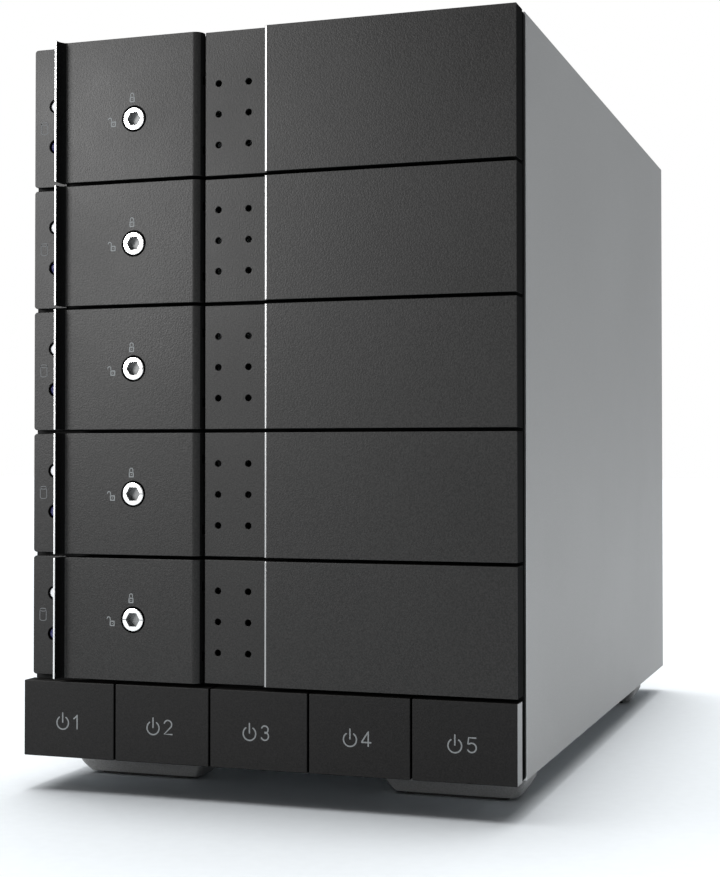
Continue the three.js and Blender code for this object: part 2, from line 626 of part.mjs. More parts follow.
// One fan blade: pitched, wider and flatter towards its tip, and swept forward.
function bladeSolid(turn, middle) {
  const geometry = new THREE.BoxGeometry(BLADE_L, BLADE_T, 21, 3, 1, 1);
  geometry.translate(FAN_HUB_R - 2 + BLADE_L / 2, 0, 0);
  const spots = geometry.attributes.position;
  for (let i = 0; i < spots.count; i += 1) {
    const x = spots.getX(i);
    const y = spots.getY(i);
    const along = (x - FAN_HUB_R + 2) / BLADE_L;
    const z = spots.getZ(i) * (0.8 + 0.35 * along);
    const pitch = THREE.MathUtils.degToRad(40 - 14 * along);
    const cos = Math.cos(pitch);
    const sin = Math.sin(pitch);
    spots.setXYZ(i, x, y * cos - z * sin, y * sin + z * cos + 9 * along);
  }
  geometry.rotateY(turn);
  geometry.translate(0, middle, 0);
  return toSolid(geometry);
}

// Rotor: hub, seven pitched blades and the shaft that turns in the stator.
function fanRotorSolid() {
  const y1 = REAR_PANEL - GAP - 5.6;
  const y0 = y1 - 16;
  const hub = rodY(FAN_HUB_R, 0, 0, y0, y1, 24);
  const shaft = rodY(1.6, 0, 0, y1 - 1, y1 + 2.6, 10);
  const blades = [];
  for (let n = 0; n < BLADE_COUNT; n += 1) {
    blades.push(bladeSolid((n * 2 * Math.PI) / BLADE_COUNT, (y0 + y1) / 2));
  }
  return join(hub, shaft, ...blades);
}

// Wire guard outside the rear panel: rings, two long spokes and four ears.
function fanGuardSolid() {
  const y0 = REAR_PANEL + PLATE_T + GAP;
  const y1 = y0 + 1.6;
  const half = GUARD_WIRE / 2;
  const rings = GUARD_RINGS.map((r) => cut(
    rodY(r + half, 0, FAN_Z, y0, y1, 24),
    rodY(r - half, 0, FAN_Z, y0 - 1, y1 + 1, 24),
  ));
  const reach = 2 * Math.SQRT2 * GUARD_SCREW;
  const spokes = [1, 3].map((n) => fanBar(reach, 1.6, GUARD_WIRE, (n * Math.PI) / 4, (y0 + y1) / 2));
  const ears = [[-1, -1], [1, -1], [-1, 1], [1, 1]].map(([sx, sz]) => (
    rodY(3.6, sx * GUARD_SCREW, FAN_Z + sz * GUARD_SCREW, y0, y1, 8)
  ));
  return join(...rings, ...spokes, ...ears);
}

// ---------------------------------------------------------------- feet

// A foot: a bar with slanted faces below and upright ones above, over a thin pad.
function footSolid() {
  const { halfX, halfY, corner, taperTop, lowShareX, lowShareY, padT, padHalfX, padHalfY } = FOOT;
  const depth = BASE_Z - GAP - padT;
  const outline = roundedRect(-halfX, halfX, -halfY, halfY, corner);
  const bar = new THREE.ExtrudeGeometry(outline, { depth, steps: 2, bevelEnabled: false, curveSegments: 2 });
  const spots = bar.attributes.position;
  for (let i = 0; i < spots.count; i += 1) {
    const level = Math.round((2 * spots.getZ(i)) / depth); // 0 at the bottom, 2 at the top
    const low = level === 0;
    spots.setXYZ(
      i,
      spots.getX(i) * (low ? lowShareX : 1),
      spots.getY(i) * (low ? lowShareY : 1),
      [padT, taperTop, padT + depth][level],
    );
  }
  const pad = upright(roundedRect(-padHalfX, padHalfX, -padHalfY, padHalfY, 0.8), 0, padT + 0.4, 2);
  return join(toSolid(bar), pad);
}

// ---------------------------------------------------------------- assembly

const enclosure = new THREE.Group();
const body = new THREE.Group();
body.position.y = FRONT_Y;
enclosure.add(body);

for (let number = 1; number <= BAY_COUNT; number += 1) {
  addBay(body, number);
  addButton(body, number);
}

piece(body, 'outer_shell', shellSolid(), looks.aluminium);
piece(body, 'base_plate', basePlateSolid(), looks.steel);
piece(body, 'front_frame', frameSolid(), looks.black);
piece(body, 'rear_panel', rearPanelSolid(), looks.dark);
piece(body, 'cage_left', cageWallSolid(-1), looks.steel);
piece(body, 'cage_right', cageWallSolid(1), looks.steel);
piece(body, 'cage_shelf', cageShelfSolid(), looks.steel);
piece(body, 'backplane_board', backplaneSolid(), looks.board);
piece(body, 'lamp_board', lampBoardSolid(), looks.board);
piece(body, 'button_board', buttonBoardSolid(), looks.board);
piece(body, 'controller_board', controllerBoardSolid(), looks.board);
piece(body, 'data_port', dataPortSolid(), looks.bright);
piece(body, 'power_inlet', powerInletSolid(), looks.black);
piece(body, 'fan_frame', fanFrameSolid(), looks.black);
piece(body, 'fan_guard', fanGuardSolid(), looks.steel);

const rotor = piece(body, 'fan_rotor', fanRotorSolid(), looks.dark);
rotor.position.z = FAN_Z;

for (const [end, depth] of Object.entries(FOOT_DEPTHS)) {
  for (const [side, x] of [['left', -FOOT_X], ['right', FOOT_X]]) {
    const foot = piece(body, `${end}_${side}_foot`, footSolid(), looks.foot);
    foot.position.set(x, depth, 0);
  }
}

export default enclosure;
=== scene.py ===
"""Looks of a five-bay drive enclosure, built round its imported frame.

The frame is in metres. The pieces are shaped in millimetres about a point of their own (x across,
depth backwards, z up) and set down in the frame by set_down().
"""
import json
import math

import bmesh
import bpy
from mathutils import Matrix, Vector


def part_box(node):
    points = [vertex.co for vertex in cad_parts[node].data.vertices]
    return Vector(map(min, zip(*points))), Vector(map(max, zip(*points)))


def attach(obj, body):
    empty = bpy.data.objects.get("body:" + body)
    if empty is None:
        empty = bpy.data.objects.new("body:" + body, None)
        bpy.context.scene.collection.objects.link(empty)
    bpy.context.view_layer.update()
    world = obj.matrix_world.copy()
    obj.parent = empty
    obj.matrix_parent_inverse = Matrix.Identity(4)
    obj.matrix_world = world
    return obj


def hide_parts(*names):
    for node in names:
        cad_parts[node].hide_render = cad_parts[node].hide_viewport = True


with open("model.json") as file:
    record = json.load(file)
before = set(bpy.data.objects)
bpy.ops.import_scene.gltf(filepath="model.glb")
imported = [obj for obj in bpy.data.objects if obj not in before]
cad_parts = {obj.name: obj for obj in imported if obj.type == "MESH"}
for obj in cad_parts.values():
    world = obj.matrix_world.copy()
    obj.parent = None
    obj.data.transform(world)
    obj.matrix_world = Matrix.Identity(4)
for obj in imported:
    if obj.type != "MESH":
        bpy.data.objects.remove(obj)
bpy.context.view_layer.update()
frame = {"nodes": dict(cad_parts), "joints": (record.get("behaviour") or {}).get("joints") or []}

MM = 0.001
BAYS = range(1, 6)
JOINTS = {joint["name"]: joint for joint in frame["joints"]}


def corners_mm(node):
    """Lowest and highest corner of a CAD node, in millimetres."""
    low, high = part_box(node)
    return low / MM, high / MM


# ------------------------------ sizes, in millimetres

FRONT_Y = corners_mm("power_button_1")[0].y
BAY_Z = {k: JOINTS[f"tray_{k}_slide"]["pos_m"][2] / MM for k in BAYS}
HALF_W = corners_mm("tray_bezel_2")[1].x
BAY_LOW = corners_mm("tray_bezel_2")[0].z - BAY_Z[2]
BAY_TOP = {k: corners_mm(f"tray_bezel_{k}")[1].z - BAY_Z[k] for k in BAYS}

PANEL_LEFT = 1.5
VENT_LEFT = -15.6
VENT_DEPTH = 2.08
STRIP_RIGHT = -56.9
STRIP_DEPTH = 4.6
POCKET_DEPTH = 5.1
BEZEL_BACK = 6.5
RIM_BACK = 10.7
RIM_HALF_W = 56.3
RIM_HALF_H = 13.9
RIM_WALL = 1.6
EDGE = 0.6
EDGE_DEPTH = 0.25
FRONT_CORNER = 1.0
DRILL_FLARE = 1.0

AIR_HOLE_X = (-11.94, -3.63)
AIR_HOLE_Z = (-7.9, 0.0, 7.9)
AIR_HOLE_R = 0.85
LAMP_X = -60.35
LAMP_Z = (-4.95, 5.9)
LAMP_HOLE_R = 1.87
LENS_R = 1.5

HINGE_X = JOINTS["lever_2_hinge"]["pos_m"][0] / MM
HINGE_DEPTH = JOINTS["lever_2_hinge"]["pos_m"][1] / MM - FRONT_Y
LUG_Z = (-9.0, 9.0)
LUG_HALF_T = 0.9
LUG_ROOM = 0.3
LUG_CUT_DEPTH = 1.6
LUG_R = 1.5
PIN_BORE_R = 0.95
LUG_BORE_HALF = 14
LEVER_BORE_HALF = 13
LEVER_T = 2.2
LIP_OUT = 3.2
LIP_LEFT = -56.4
LIP_TIP = 0.55
LOCK_X = JOINTS["lock_2_turn"]["pos_m"][0] / MM
LOCK_R = 2.95
LOCK_HOLE_R = 3.4
HEX_FLATS = 3.5
HEX_DEPTH = 1.7
CAM_R = 4.3

SLED_FRONT, SLED_BACK = (corner.y - FRONT_Y for corner in corners_mm("tray_sled_2"))
SLED_HALF_W = corners_mm("tray_sled_2")[1].x
SLED_LOW = corners_mm("tray_sled_2")[0].z - BAY_Z[2]
SLED_FLOOR = 1.4
SLED_WALL = 2
SLED_WALL_HIGH = 11
SLED_CORNER = 2
SLED_OPENING_X = ((-34, -12.8), (-10.2, 10.2), (12.8, 34))
SLED_OPENING_Y = (34, 84, 134)
SLED_OPENING_HALF = 11
SLED_NOTCH_Y = (144, 104, 64, 24)
DRIVE_HALF_W = 51.2
DRIVE_SCREW_Y = (40, 124)
DRIVE_SCREW_UP = 6.4
DRIVE_SCREW_R = 2.6

BUTTON_LOW, BUTTON_HIGH = (corner.z for corner in corners_mm("power_button_1"))
BUTTON_DEPTH = 5.2
BUTTON_WALL = 1.4
SWITCH_STEM = 6.0
BUTTON_MARK_Z = 18.05
BUTTON_DIGIT_Z = 18.4

# Height, then the share of the foot's full width and depth at that height.
FOOT_TAPER = ((0.8, 0.865, 0.62), (1.2, 0.885, 0.68), (3.0, 0.945, 0.88), (4.6, 0.99, 0.985), (5.0, 1.0, 1.0))
FOOT_CORNER = 1.5
PAD_HALF_X = 13.8
PAD_HALF_Y = 3.2
PAD_T = 1.2

SHEET_T = 1.2
PORT_Z = 25.2
FAN_OPENING_R = 57
GUARD_WIRE = 0.75
GUARD_RINGS = (10, 17, 24, 31, 38, 45, 52, 59)
GUARD_ROD = 70.5
GUARD_REACH = 52.5
ROTOR_BACK = 230.6
ROTOR_LENGTH = 16
HUB_R = 20
BLADES = 7
BLADE_REACH = 34.0
BLADE_CHORD = 19
BLADE_T = 1.3


# ------------------------------ shaping

def arc(x, y, radius, start, end, steps):
    """Points along a round stretch, with the angles in degrees."""
    turns = [math.radians(start + (end - start) * i / steps) for i in range(steps + 1)]
    return [(x + radius * math.cos(t), y + radius * math.sin(t)) for t in turns]


def sweep(a, b, c, d, steps):
    """Points along a Bezier stretch."""
    points = []
    for i in range(steps + 1):
        t = i / steps
        s = 1 - t
        points.append(tuple(s ** 3 * p + 3 * s * s * t * q + 3 * s * t * t * r + t ** 3 * e
                            for p, q, r, e in zip(a, b, c, d)))
    return points


def round_rect(x0, x1, y0, y1, radius, steps=5):
    """A rectangle with round corners."""
    return (arc(x1 - radius, y0 + radius, radius, -90, 0, steps)
            + arc(x1 - radius, y1 - radius, radius, 0, 90, steps)
            + arc(x0 + radius, y1 - radius, radius, 90, 180, steps)
            + arc(x0 + radius, y0 + radius, radius, 180, 270, steps))


def prism(outline, low, high, facing="up"):
    """A solid with a flat outline, extruded upwards or, facing front, backwards."""
    bm = bmesh.new()

    def ring(level):
        return [bm.verts.new((u, v, level) if facing == "up" else (u, level, v)) for u, v in outline]

    first, last = ring(low), ring(high)
    bm.faces.new(first)
    bm.faces.new(last)
    for i in range(len(outline)):
        bm.faces.new((first[i - 1], first[i], last[i], last[i - 1]))
    bmesh.ops.recalc_face_normals(bm, faces=bm.faces)
    return bm


def block(x0, x1, d0, d1, z0, z1):
    """A rectangular solid between two corners."""
    return prism([(x0, d0), (x1, d0), (x1, d1), (x0, d1)], z0, z1)


def turned(profile, steps=32, closed=False):
    """A round solid about the depth axis, from a profile of (radius, depth)."""
    bm = bmesh.new()
    rings = []
    for radius, depth in profile:
        count = steps if radius else 1
        turns = [2 * math.pi * i / steps for i in range(count)]
        rings.append([bm.verts.new((radius * math.cos(t), depth, radius * math.sin(t))) for t in turns])
    pairs = list(zip(rings, rings[1:] + rings[:1])) if closed else list(zip(rings, rings[1:]))
    for near, far in pairs:
        for i in range(steps):
            corners = [near[i % len(near)], near[(i + 1) % len(near)],
                       far[(i + 1) % len(far)], far[i % len(far)]]
            bm.faces.new(dict.fromkeys(corners))
    bmesh.ops.recalc_face_normals(bm, faces=bm.faces)
    return bm


def shifted(bm, x=0.0, depth=0.0, z=0.0, turn=0.0, axis="Y"):
    """Turns a shape about an axis through its own point, in degrees, then moves it."""
    bm.transform(Matrix.Translation((x, depth, z)) @ Matrix.Rotation(math.radians(turn), 4, axis))
    return bm


def gathered(*shapes):
    """Several shapes in one mesh, not joined."""
    total = bmesh.new()
    for shape in shapes:
        part = bpy.data.meshes.new("part")
        shape.to_mesh(part)
        shape.free()
        total.from_mesh(part)
        bpy.data.meshes.remove(part)
    return total


def make(name, shape):
    """An object from a shape, which is still in millimetres."""
    mesh = bpy.data.meshes.new(name)
    shape.to_mesh(mesh)
    shape.free()
    piece = bpy.data.objects.new(name, mesh)
    bpy.context.scene.collection.objects.link(piece)
    return piece


def settle(piece):
    """Works the modifiers into the mesh."""
    graph = bpy.context.evaluated_depsgraph_get()
    worked = bpy.data.meshes.new_from_object(piece.evaluated_get(graph))
    old = piece.data
    piece.modifiers.clear()
    piece.data = worked
    bpy.data.meshes.remove(old)
    return piece


def soften(piece, width, segments=2, angle=35):
    """Rounds the edges of a piece."""
    bevel = piece.modifiers.new("soften", "BEVEL")
    bevel.width = width
    bevel.segments = segments
    bevel.limit_method = "ANGLE"
    bevel.angle_limit = math.radians(angle)
    return settle(piece)


def combine(piece, shape, operation):
    """Cuts a shape out of a piece (DIFFERENCE), joins it on (UNION) or keeps what both share (INTERSECT)."""
    tool = make("tool", shape)
    change = piece.modifiers.new("combine", "BOOLEAN")
    change.solver = "EXACT"
    change.operation = operation
    change.object = tool
    settle(piece)
    old = tool.data
    bpy.data.objects.remove(tool)
    bpy.data.meshes.remove(old)
    return piece


def carve(piece, *shapes):
    """Cuts shapes that don't touch each other out of a piece, all at once."""
    return combine(piece, gathered(*shapes), "DIFFERENCE")


def weld(piece, *shapes):
    """Joins shapes onto a piece, one after the other."""
    for shape in shapes:
        combine(piece, shape, "UNION")
    return piece


def paint(piece, *finishes, choose=None):
    """Gives a piece its finishes. choose(centre, normal) picks one by number for each face."""
    piece.data.materials.clear()
    for finish in finishes:
        piece.data.materials.append(finish)
    for face in piece.data.polygons:
        face.material_index = choose(face.center, face.normal) if choose else 0
        face.use_smooth = True
    piece.data.set_sharp_from_angle(angle=math.radians(32))
    even = piece.modifiers.new("even", "WEIGHTED_NORMAL")
    even.keep_sharp = True
    return settle(piece)


def set_down(piece, body, slot, x=0.0, depth=0.0, z=0.0, stands_for=()):
    """Puts a finished piece in its place in the frame, on the body that it moves with."""
    place = Matrix.Translation(Vector((x, FRONT_Y + depth, z)) * MM) @ Matrix.Scale(MM, 4)
    piece.data.transform(place)
    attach(piece, body)
    if stands_for:
        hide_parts(*stands_for)
    return piece


def copy_of(pattern, name):
    piece = bpy.data.objects.new(name, pattern.data.copy())
    bpy.context.scene.collection.objects.link(piece)
    return piece


def discard(*patterns):
    for pattern in patterns:
        bpy.data.objects.remove(pattern)


# ------------------------------ shader groups

def new_group(name, inputs, outputs):
    """An empty node group with number inputs. Returns it with its input and output nodes."""
    group = bpy.data.node_groups.new(name, "ShaderNodeTree")
    for label, value in inputs.items():
        socket = group.interface.new_socket(label, in_out="INPUT", socket_type="NodeSocketFloat")
        socket.default_value = value
    for label in outputs:
        group.interface.new_socket(label, in_out="OUTPUT", socket_type="NodeSocketFloat")
    return group, group.nodes.new("NodeGroupInput"), group.nodes.new("NodeGroupOutput")


def calc(tree, operation, first, second=None, clamp=False):
    """A Math node. Each value is a number or an output socket."""
    node = tree.nodes.new("ShaderNodeMath")
    node.operation = operation
    node.use_clamp = clamp
    for socket, value in zip(node.inputs, (first, second)):
        if isinstance(value, bpy.types.NodeSocket):
            tree.links.new(value, socket)
        elif value is not None:
            socket.default_value = value
    return node.outputs[0]


def noise(tree, scale, detail=2.0, stretch=(1, 1, 1), rough=0.5):
    """Noise over the piece's own space. scale is in waves per metre."""
    where = tree.nodes.new("ShaderNodeTexCoord")
    mapping = tree.nodes.new("ShaderNodeMapping")
    mapping.inputs["Scale"].default_value = stretch
    tree.links.new(where.outputs["Object"], mapping.inputs["Vector"])
    node = tree.nodes.new("ShaderNodeTexNoise")
    node.inputs["Detail"].default_value = detail
    node.inputs["Roughness"].default_value = rough
    tree.links.new(mapping.outputs[0], node.inputs["Vector"])
    if isinstance(scale, bpy.types.NodeSocket):
        tree.links.new(scale, node.inputs["Scale"])
    else:
        node.inputs["Scale"].default_value = scale
    return node.outputs["Fac"]


def ranged(tree, value, low, high, new_low, new_high):
    """A Map Range node. Each value is a number or an output socket."""
    node = tree.nodes.new("ShaderNodeMapRange")
    for label, number in zip(("Value", "From Min", "From Max", "To Min", "To Max"),
                             (value, low, high, new_low, new_high)):
        if isinstance(number, bpy.types.NodeSocket):
            tree.links.new(number, node.inputs[label])
        else:
            node.inputs[label].default_value = number
    return node.outputs["Result"]


def surface_group(name, scale, detail, **waves):
    """Texture of a surface: a shade about 1 and a height from 0 to 1, both from one noise."""
    group, given, made = new_group(name, {"Scale": scale, "Contrast": 0.1}, ("Shade", "Height"))
    field = noise(group, given.outputs["Scale"], detail, **waves)
    height = ranged(group, field, 0.3, 0.7, 0.0, 1.0)
    spread = calc(group, "MULTIPLY", calc(group, "SUBTRACT", height, 0.5), given.outputs["Contrast"])
    shade = calc(group, "ADD", calc(group, "MULTIPLY", spread, 2.0), 1.0)
    group.links.new(shade, made.inputs["Shade"])
    group.links.new(height, made.inputs["Height"])
    return group


def edge_group():
    """Handling wear: 1 on sharp outer edges, broken up, and 0 on flat faces."""
    group, given, made = new_group("edge_rub", {"Amount": 0.5, "Radius": 0.0004}, ("Mask",))
    bevel = group.nodes.new("ShaderNodeBevel")
    bevel.samples = 4
    group.links.new(given.outputs["Radius"], bevel.inputs["Radius"])
    surface = group.nodes.new("ShaderNodeNewGeometry")
    dot = group.nodes.new("ShaderNodeVectorMath")
    dot.operation = "DOT_PRODUCT"
    group.links.new(bevel.outputs["Normal"], dot.inputs[0])
    group.links.new(surface.outputs["Normal"], dot.inputs[1])
    turned_away = ranged(group, dot.outputs["Value"], 0.99, 0.75, 0.0, 1.0)
    broken = ranged(group, noise(group, 700.0, 3.0), 0.35, 0.6, 0.15, 1.0)
    rubbed = calc(group, "MULTIPLY", turned_away, broken)
    mask = calc(group, "MULTIPLY", rubbed, given.outputs["Amount"], clamp=True)
    group.links.new(mask, made.inputs["Mask"])
    return group


def handling_group():
    """Slow changes over a surface, for roughness: a value between Low and High."""
    group, given, made = new_group("handling", {"Low": 0.4, "High": 0.5, "Scale": 18.0}, ("Value",))
    cloud = noise(group, given.outputs["Scale"], 4.0, rough=0.6)
    value = ranged(group, cloud, 0.3, 0.7, given.outputs["Low"], given.outputs["High"])
    group.links.new(value, made.inputs["Value"])
    return group


def dust_group():
    """Dust that settles on faces that look up: a mask."""
    group, given, made = new_group("settled_dust", {"Amount": 0.1}, ("Mask",))
    surface = group.nodes.new("ShaderNodeNewGeometry")
    split = group.nodes.new("ShaderNodeSeparateXYZ")
    group.links.new(surface.outputs["Normal"], split.inputs[0])
    upward = ranged(group, split.outputs["Z"], 0.6, 1.0, 0.0, 1.0)
    patches = ranged(group, noise(group, 45.0, 6.0, rough=0.65), 0.3, 0.75, 0.2, 1.0)
    settled = calc(group, "MULTIPLY", upward, patches)
    mask = calc(group, "MULTIPLY", settled, given.outputs["Amount"], clamp=True)
    group.links.new(mask, made.inputs["Mask"])
    return group


GRAIN = surface_group("fine_grain", 2500.0, 1.5)
BRUSHED = surface_group("brushed_lines", 900.0, 3.0, stretch=(1, 0.03, 1), rough=0.7)
EDGE_RUB = edge_group()
HANDLING = handling_group()
DUST = dust_group()


# ------------------------------ finishes

GLOSS_SPREAD = 0.04


def placed(tree, group, **values):
    """Puts a shader group in a material and sets its inputs. Returns its outputs."""
    node = tree.nodes.new("ShaderNodeGroup")
    node.node_tree = group
    for label, value in values.items():
        node.inputs[label].default_value = value
    return node.outputs


def blended(tree, share, first, second, kind="MIX"):
    """A colour Mix node. Each value is a colour or an output socket."""
    node = tree.nodes.new("ShaderNodeMix")
    node.data_type = "RGBA"
    node.blend_type = kind
    node.clamp_factor = True
    for socket, value in ((node.inputs[0], share), (node.inputs[6], first), (node.inputs[7], second)):
        if isinstance(value, bpy.types.NodeSocket):
            tree.links.new(value, socket)
        elif isinstance(value, (int, float)):
            socket.default_value = value
        else:
            socket.default_value = (*value, 1.0)
    return node.outputs[2]


def finish(name, colour, roughness, metallic=0.0, grain=2500.0, contrast=0.1, bump=0.1, bump_mm=0.02,
           rub=0.3, rub_colour=None, dust=0.0, pattern=None, **fixed):
    """A finish with grain, slow changes of gloss, rubbed edges and, where it is asked for, dust.

    fixed holds shader sockets that are the same all over, such as coat_weight.
    """
    material = bpy.data.materials.new(name)
    material.use_nodes = True
    tree = material.node_tree
    shader = tree.nodes["Principled BSDF"]
    shader.inputs["Metallic"].default_value = metallic
    for label, value in fixed.items():
        shader.inputs[label.replace("_", " ").title().replace("Ior", "IOR")].default_value = value
    surface = placed(tree, pattern or GRAIN, Scale=grain, Contrast=contrast)
    tinted = blended(tree, 1.0, colour, surface["Shade"], "MULTIPLY")
    rubbed = placed(tree, EDGE_RUB, Amount=rub)
    lighter = rub_colour or tuple(min(1.0, 0.5 * c + 0.12) for c in colour)
    shown = blended(tree, rubbed["Mask"], tinted, lighter)
    if dust:
        settled = placed(tree, DUST, Amount=dust)
        shown = blended(tree, settled["Mask"], shown, (0.55, 0.54, 0.52))
    tree.links.new(shown, shader.inputs["Base Color"])
    gloss = placed(tree, HANDLING, Low=max(0.03, roughness - GLOSS_SPREAD), High=roughness + GLOSS_SPREAD)
    tree.links.new(gloss["Value"], shader.inputs["Roughness"])
    relief = tree.nodes.new("ShaderNodeBump")
    relief.inputs["Strength"].default_value = bump
    relief.inputs["Distance"].default_value = bump_mm * MM
    tree.links.new(surface["Height"], relief.inputs["Height"])
    tree.links.new(relief.outputs["Normal"], shader.inputs["Normal"])
    return material


charcoal_coat = finish("charcoal_coat", (0.0145, 0.014, 0.0135), 0.385, metallic=0.1, grain=2600.0,
                       contrast=0.45, bump=0.45, bump_mm=0.03, rub=0.1, rub_colour=(0.08, 0.08, 0.08),
                       specular_ior_level=0.28)
strip_coat = finish("strip_coat", (0.0115, 0.011, 0.0107), 0.375, metallic=0.1, grain=2600.0, contrast=0.4,
                    bump=0.4, bump_mm=0.03, rub=0.08, rub_colour=(0.08, 0.08, 0.08), specular_ior_level=0.28)
# painted_shade: near-black and nearly without gloss. It is painted shade, put on hole walls, side faces, gaps
# and recesses so that they read as shadow.
painted_shade = finish("painted_shade", (0.0045, 0.0045, 0.0045), 0.75, grain=3000.0, contrast=0.3, bump=0.2,
                    rub=0.02, rub_colour=(0.03, 0.03, 0.03), specular_ior_level=0.03)
button_coat = finish("button_coat", (0.007, 0.0066, 0.0064), 0.45, metallic=0.05, grain=2600.0, contrast=0.45,
                     bump=0.4, bump_mm=0.03, rub=0.1, rub_colour=(0.05, 0.05, 0.05), specular_ior_level=0.18)
lip_edge = finish("lip_edge", (0.66, 0.66, 0.655), 0.3, metallic=0.9, grain=5000.0, contrast=0.06, bump=0.05,
                  rub=0.0)
bevel_edge = finish("bevel_edge", (0.3, 0.3, 0.3), 0.3, metallic=0.9, grain=5000.0, contrast=0.06, bump=0.05,
                    rub=0.0)
button_end = finish("button_end", (0.3, 0.3, 0.3), 0.4, metallic=0.6, grain=3500.0, contrast=0.08,
                    bump=0.08, rub=0.2)
frame_black = finish("frame_black", (0.004, 0.004, 0.004), 0.65, grain=3000.0, contrast=0.3, bump=0.15,
                     rub=0.05, rub_colour=(0.03, 0.03, 0.03), specular_ior_level=0.15)
lock_silver = finish("lock_silver", (0.9, 0.9, 0.89), 0.24, metallic=1.0, grain=4000.0, contrast=0.05,
                     bump=0.04, bump_mm=0.01, rub=0.2)
lock_dark = finish("lock_dark", (0.006, 0.006, 0.006), 0.5, grain=4000.0, contrast=0.2, bump=0.1, rub=0.05,
                   specular_ior_level=0.2)
# A darker, duller copy of the lock's silver for the hexagon socket's walls and floor: painted shade inside
# the socket.
painted_socket_shade = finish("painted_socket_shade", (0.2, 0.205, 0.205), 0.45, metallic=0.3, grain=4000.0, contrast=0.1,
                   bump=0.05, rub=0.1)
mark_grey = finish("mark_grey", (0.16, 0.17, 0.174), 0.6, grain=6000.0, contrast=0.15, bump=0.1, rub=0.0)
mark_faint = finish("mark_faint", (0.09, 0.095, 0.1), 0.6, grain=6000.0, contrast=0.15, bump=0.1, rub=0.0)
aluminium = finish("blasted_aluminium", (0.42, 0.417, 0.414), 0.58, metallic=0.5, grain=4200.0, contrast=0.07,
                   bump=0.16, bump_mm=0.02, rub=0.3, rub_colour=(0.62, 0.62, 0.62), dust=0.03)
aluminium_rim = finish("aluminium_rim", (0.6, 0.6, 0.6), 0.3, metallic=0.9, grain=4200.0, contrast=0.06,
                       bump=0.05, rub=0.2)
sheet_steel = finish("sheet_steel", (0.5, 0.51, 0.52), 0.38, metallic=0.9, grain=1000.0, contrast=0.14,
                     bump=0.12, rub=0.3, pattern=BRUSHED)
wire_chrome = finish("wire_chrome", (0.72, 0.72, 0.72), 0.16, metallic=1.0, grain=3000.0, contrast=0.04,
                     bump=0.04, rub=0.1)
powder_black = finish("powder_black", (0.02, 0.02, 0.021), 0.62, grain=1500.0, contrast=0.2, bump=0.6,
                      bump_mm=0.06, rub=0.3, rub_colour=(0.14, 0.14, 0.14))
fan_plastic = finish("fan_plastic", (0.014, 0.014, 0.015), 0.45, grain=2200.0, contrast=0.2, bump=0.12,
                     rub=0.2, dust=0.06)
tray_plastic = finish("tray_plastic", (0.03, 0.031, 0.033), 0.55, grain=1800.0, contrast=0.2, bump=0.25,
                      rub=0.25)
board_green = finish("board_green", (0.008, 0.09, 0.04), 0.32, grain=500.0, contrast=0.25, bump=0.2, rub=0.35,
                     rub_colour=(0.35, 0.3, 0.12), coat_weight=0.4)
socket_black = finish("socket_black", (0.015, 0.015, 0.016), 0.5, grain=2500.0, contrast=0.2, bump=0.12,
                      rub=0.2)
port_nickel = finish("port_nickel", (0.7, 0.69, 0.66), 0.24, metallic=1.0, grain=2000.0, contrast=0.06,
                     bump=0.06, rub=0.1)
foot_grey = finish("foot_grey", (0.25, 0.249, 0.247), 0.6, grain=2200.0, contrast=0.14, bump=0.25, rub=0.25,
                   rub_colour=(0.4, 0.4, 0.4))
pad_rubber = finish("pad_rubber", (0.015, 0.015, 0.015), 0.8, grain=1600.0, contrast=0.25, bump=0.4,
                    bump_mm=0.05, rub=0.1, rub_colour=(0.05, 0.05, 0.05))
screw_steel = finish("screw_steel", (0.2, 0.2, 0.205), 0.32, metallic=0.95, grain=3000.0, contrast=0.1,
                     bump=0.08, rub=0.5, rub_colour=(0.5, 0.5, 0.5))
lens_clear = finish("lens_clear", (0.7, 0.71, 0.73), 0.14, grain=3000.0, contrast=0.03, bump=0.03, rub=0.0,
                    coat_weight=0.4)
lens_blue = finish("lens_blue", (0.02, 0.02, 0.085), 0.14, grain=3000.0, contrast=0.03, bump=0.03, rub=0.0,
                   coat_weight=0.4)


# ------------------------------ printed marks

MARK_T = 0.03
BUTTON_LINE = 0.36
SHACKLE_LINE = 0.26
DRIVE_LINE = 0.22


def stroke(points, width, closed=False):
    """A line of print along a path in the front plane, with round ends."""
    path = [Vector(p) for p in points]
    count = len(path)
    left, right = [], []
    for i, here in enumerate(path):
        before = path[(i - 1) % count] if closed or i else here
        after = path[(i + 1) % count] if closed or i < count - 1 else here
        way = (after - before).normalized()
        side = Vector((-way.y, way.x)) * width / 2
        left.append(here + side)
        right.append(here - side)
    if closed:
        return prism_ring(left, right)
    start, end = path[0], path[-1]
    first = math.degrees(math.atan2(*(left[0] - start).yx))
    last = math.degrees(math.atan2(*(right[-1] - end).yx))
    caps = arc(start.x, start.y, width / 2, first, first + 180, 6)[1:-1]
    tail = arc(end.x, end.y, width / 2, last, last + 180, 6)[1:-1]
    outline = [tuple(p) for p in left[::-1]] + caps + [tuple(p) for p in right] + tail
    return prism(outline, -MARK_T, 0.0, "front")


def prism_ring(outer, inner):
    """A closed band of print between two outlines."""
    bm = bmesh.new()
    levels = [[[bm.verts.new((p[0], depth, p[1])) for p in line] for line in (outer, inner)]
              for depth in (-MARK_T, 0.0)]
    (front_out, front_in), (back_out, back_in) = levels
    for i in range(len(outer)):
        bm.faces.new((front_out[i - 1], front_out[i], front_in[i], front_in[i - 1]))
        bm.faces.new((back_out[i - 1], back_out[i], back_in[i], back_in[i - 1]))
        bm.faces.new((front_out[i - 1], front_out[i], back_out[i], back_out[i - 1]))
        bm.faces.new((front_in[i - 1], front_in[i], back_in[i], back_in[i - 1]))
    bmesh.ops.recalc_face_normals(bm, faces=bm.faces)
    return bm


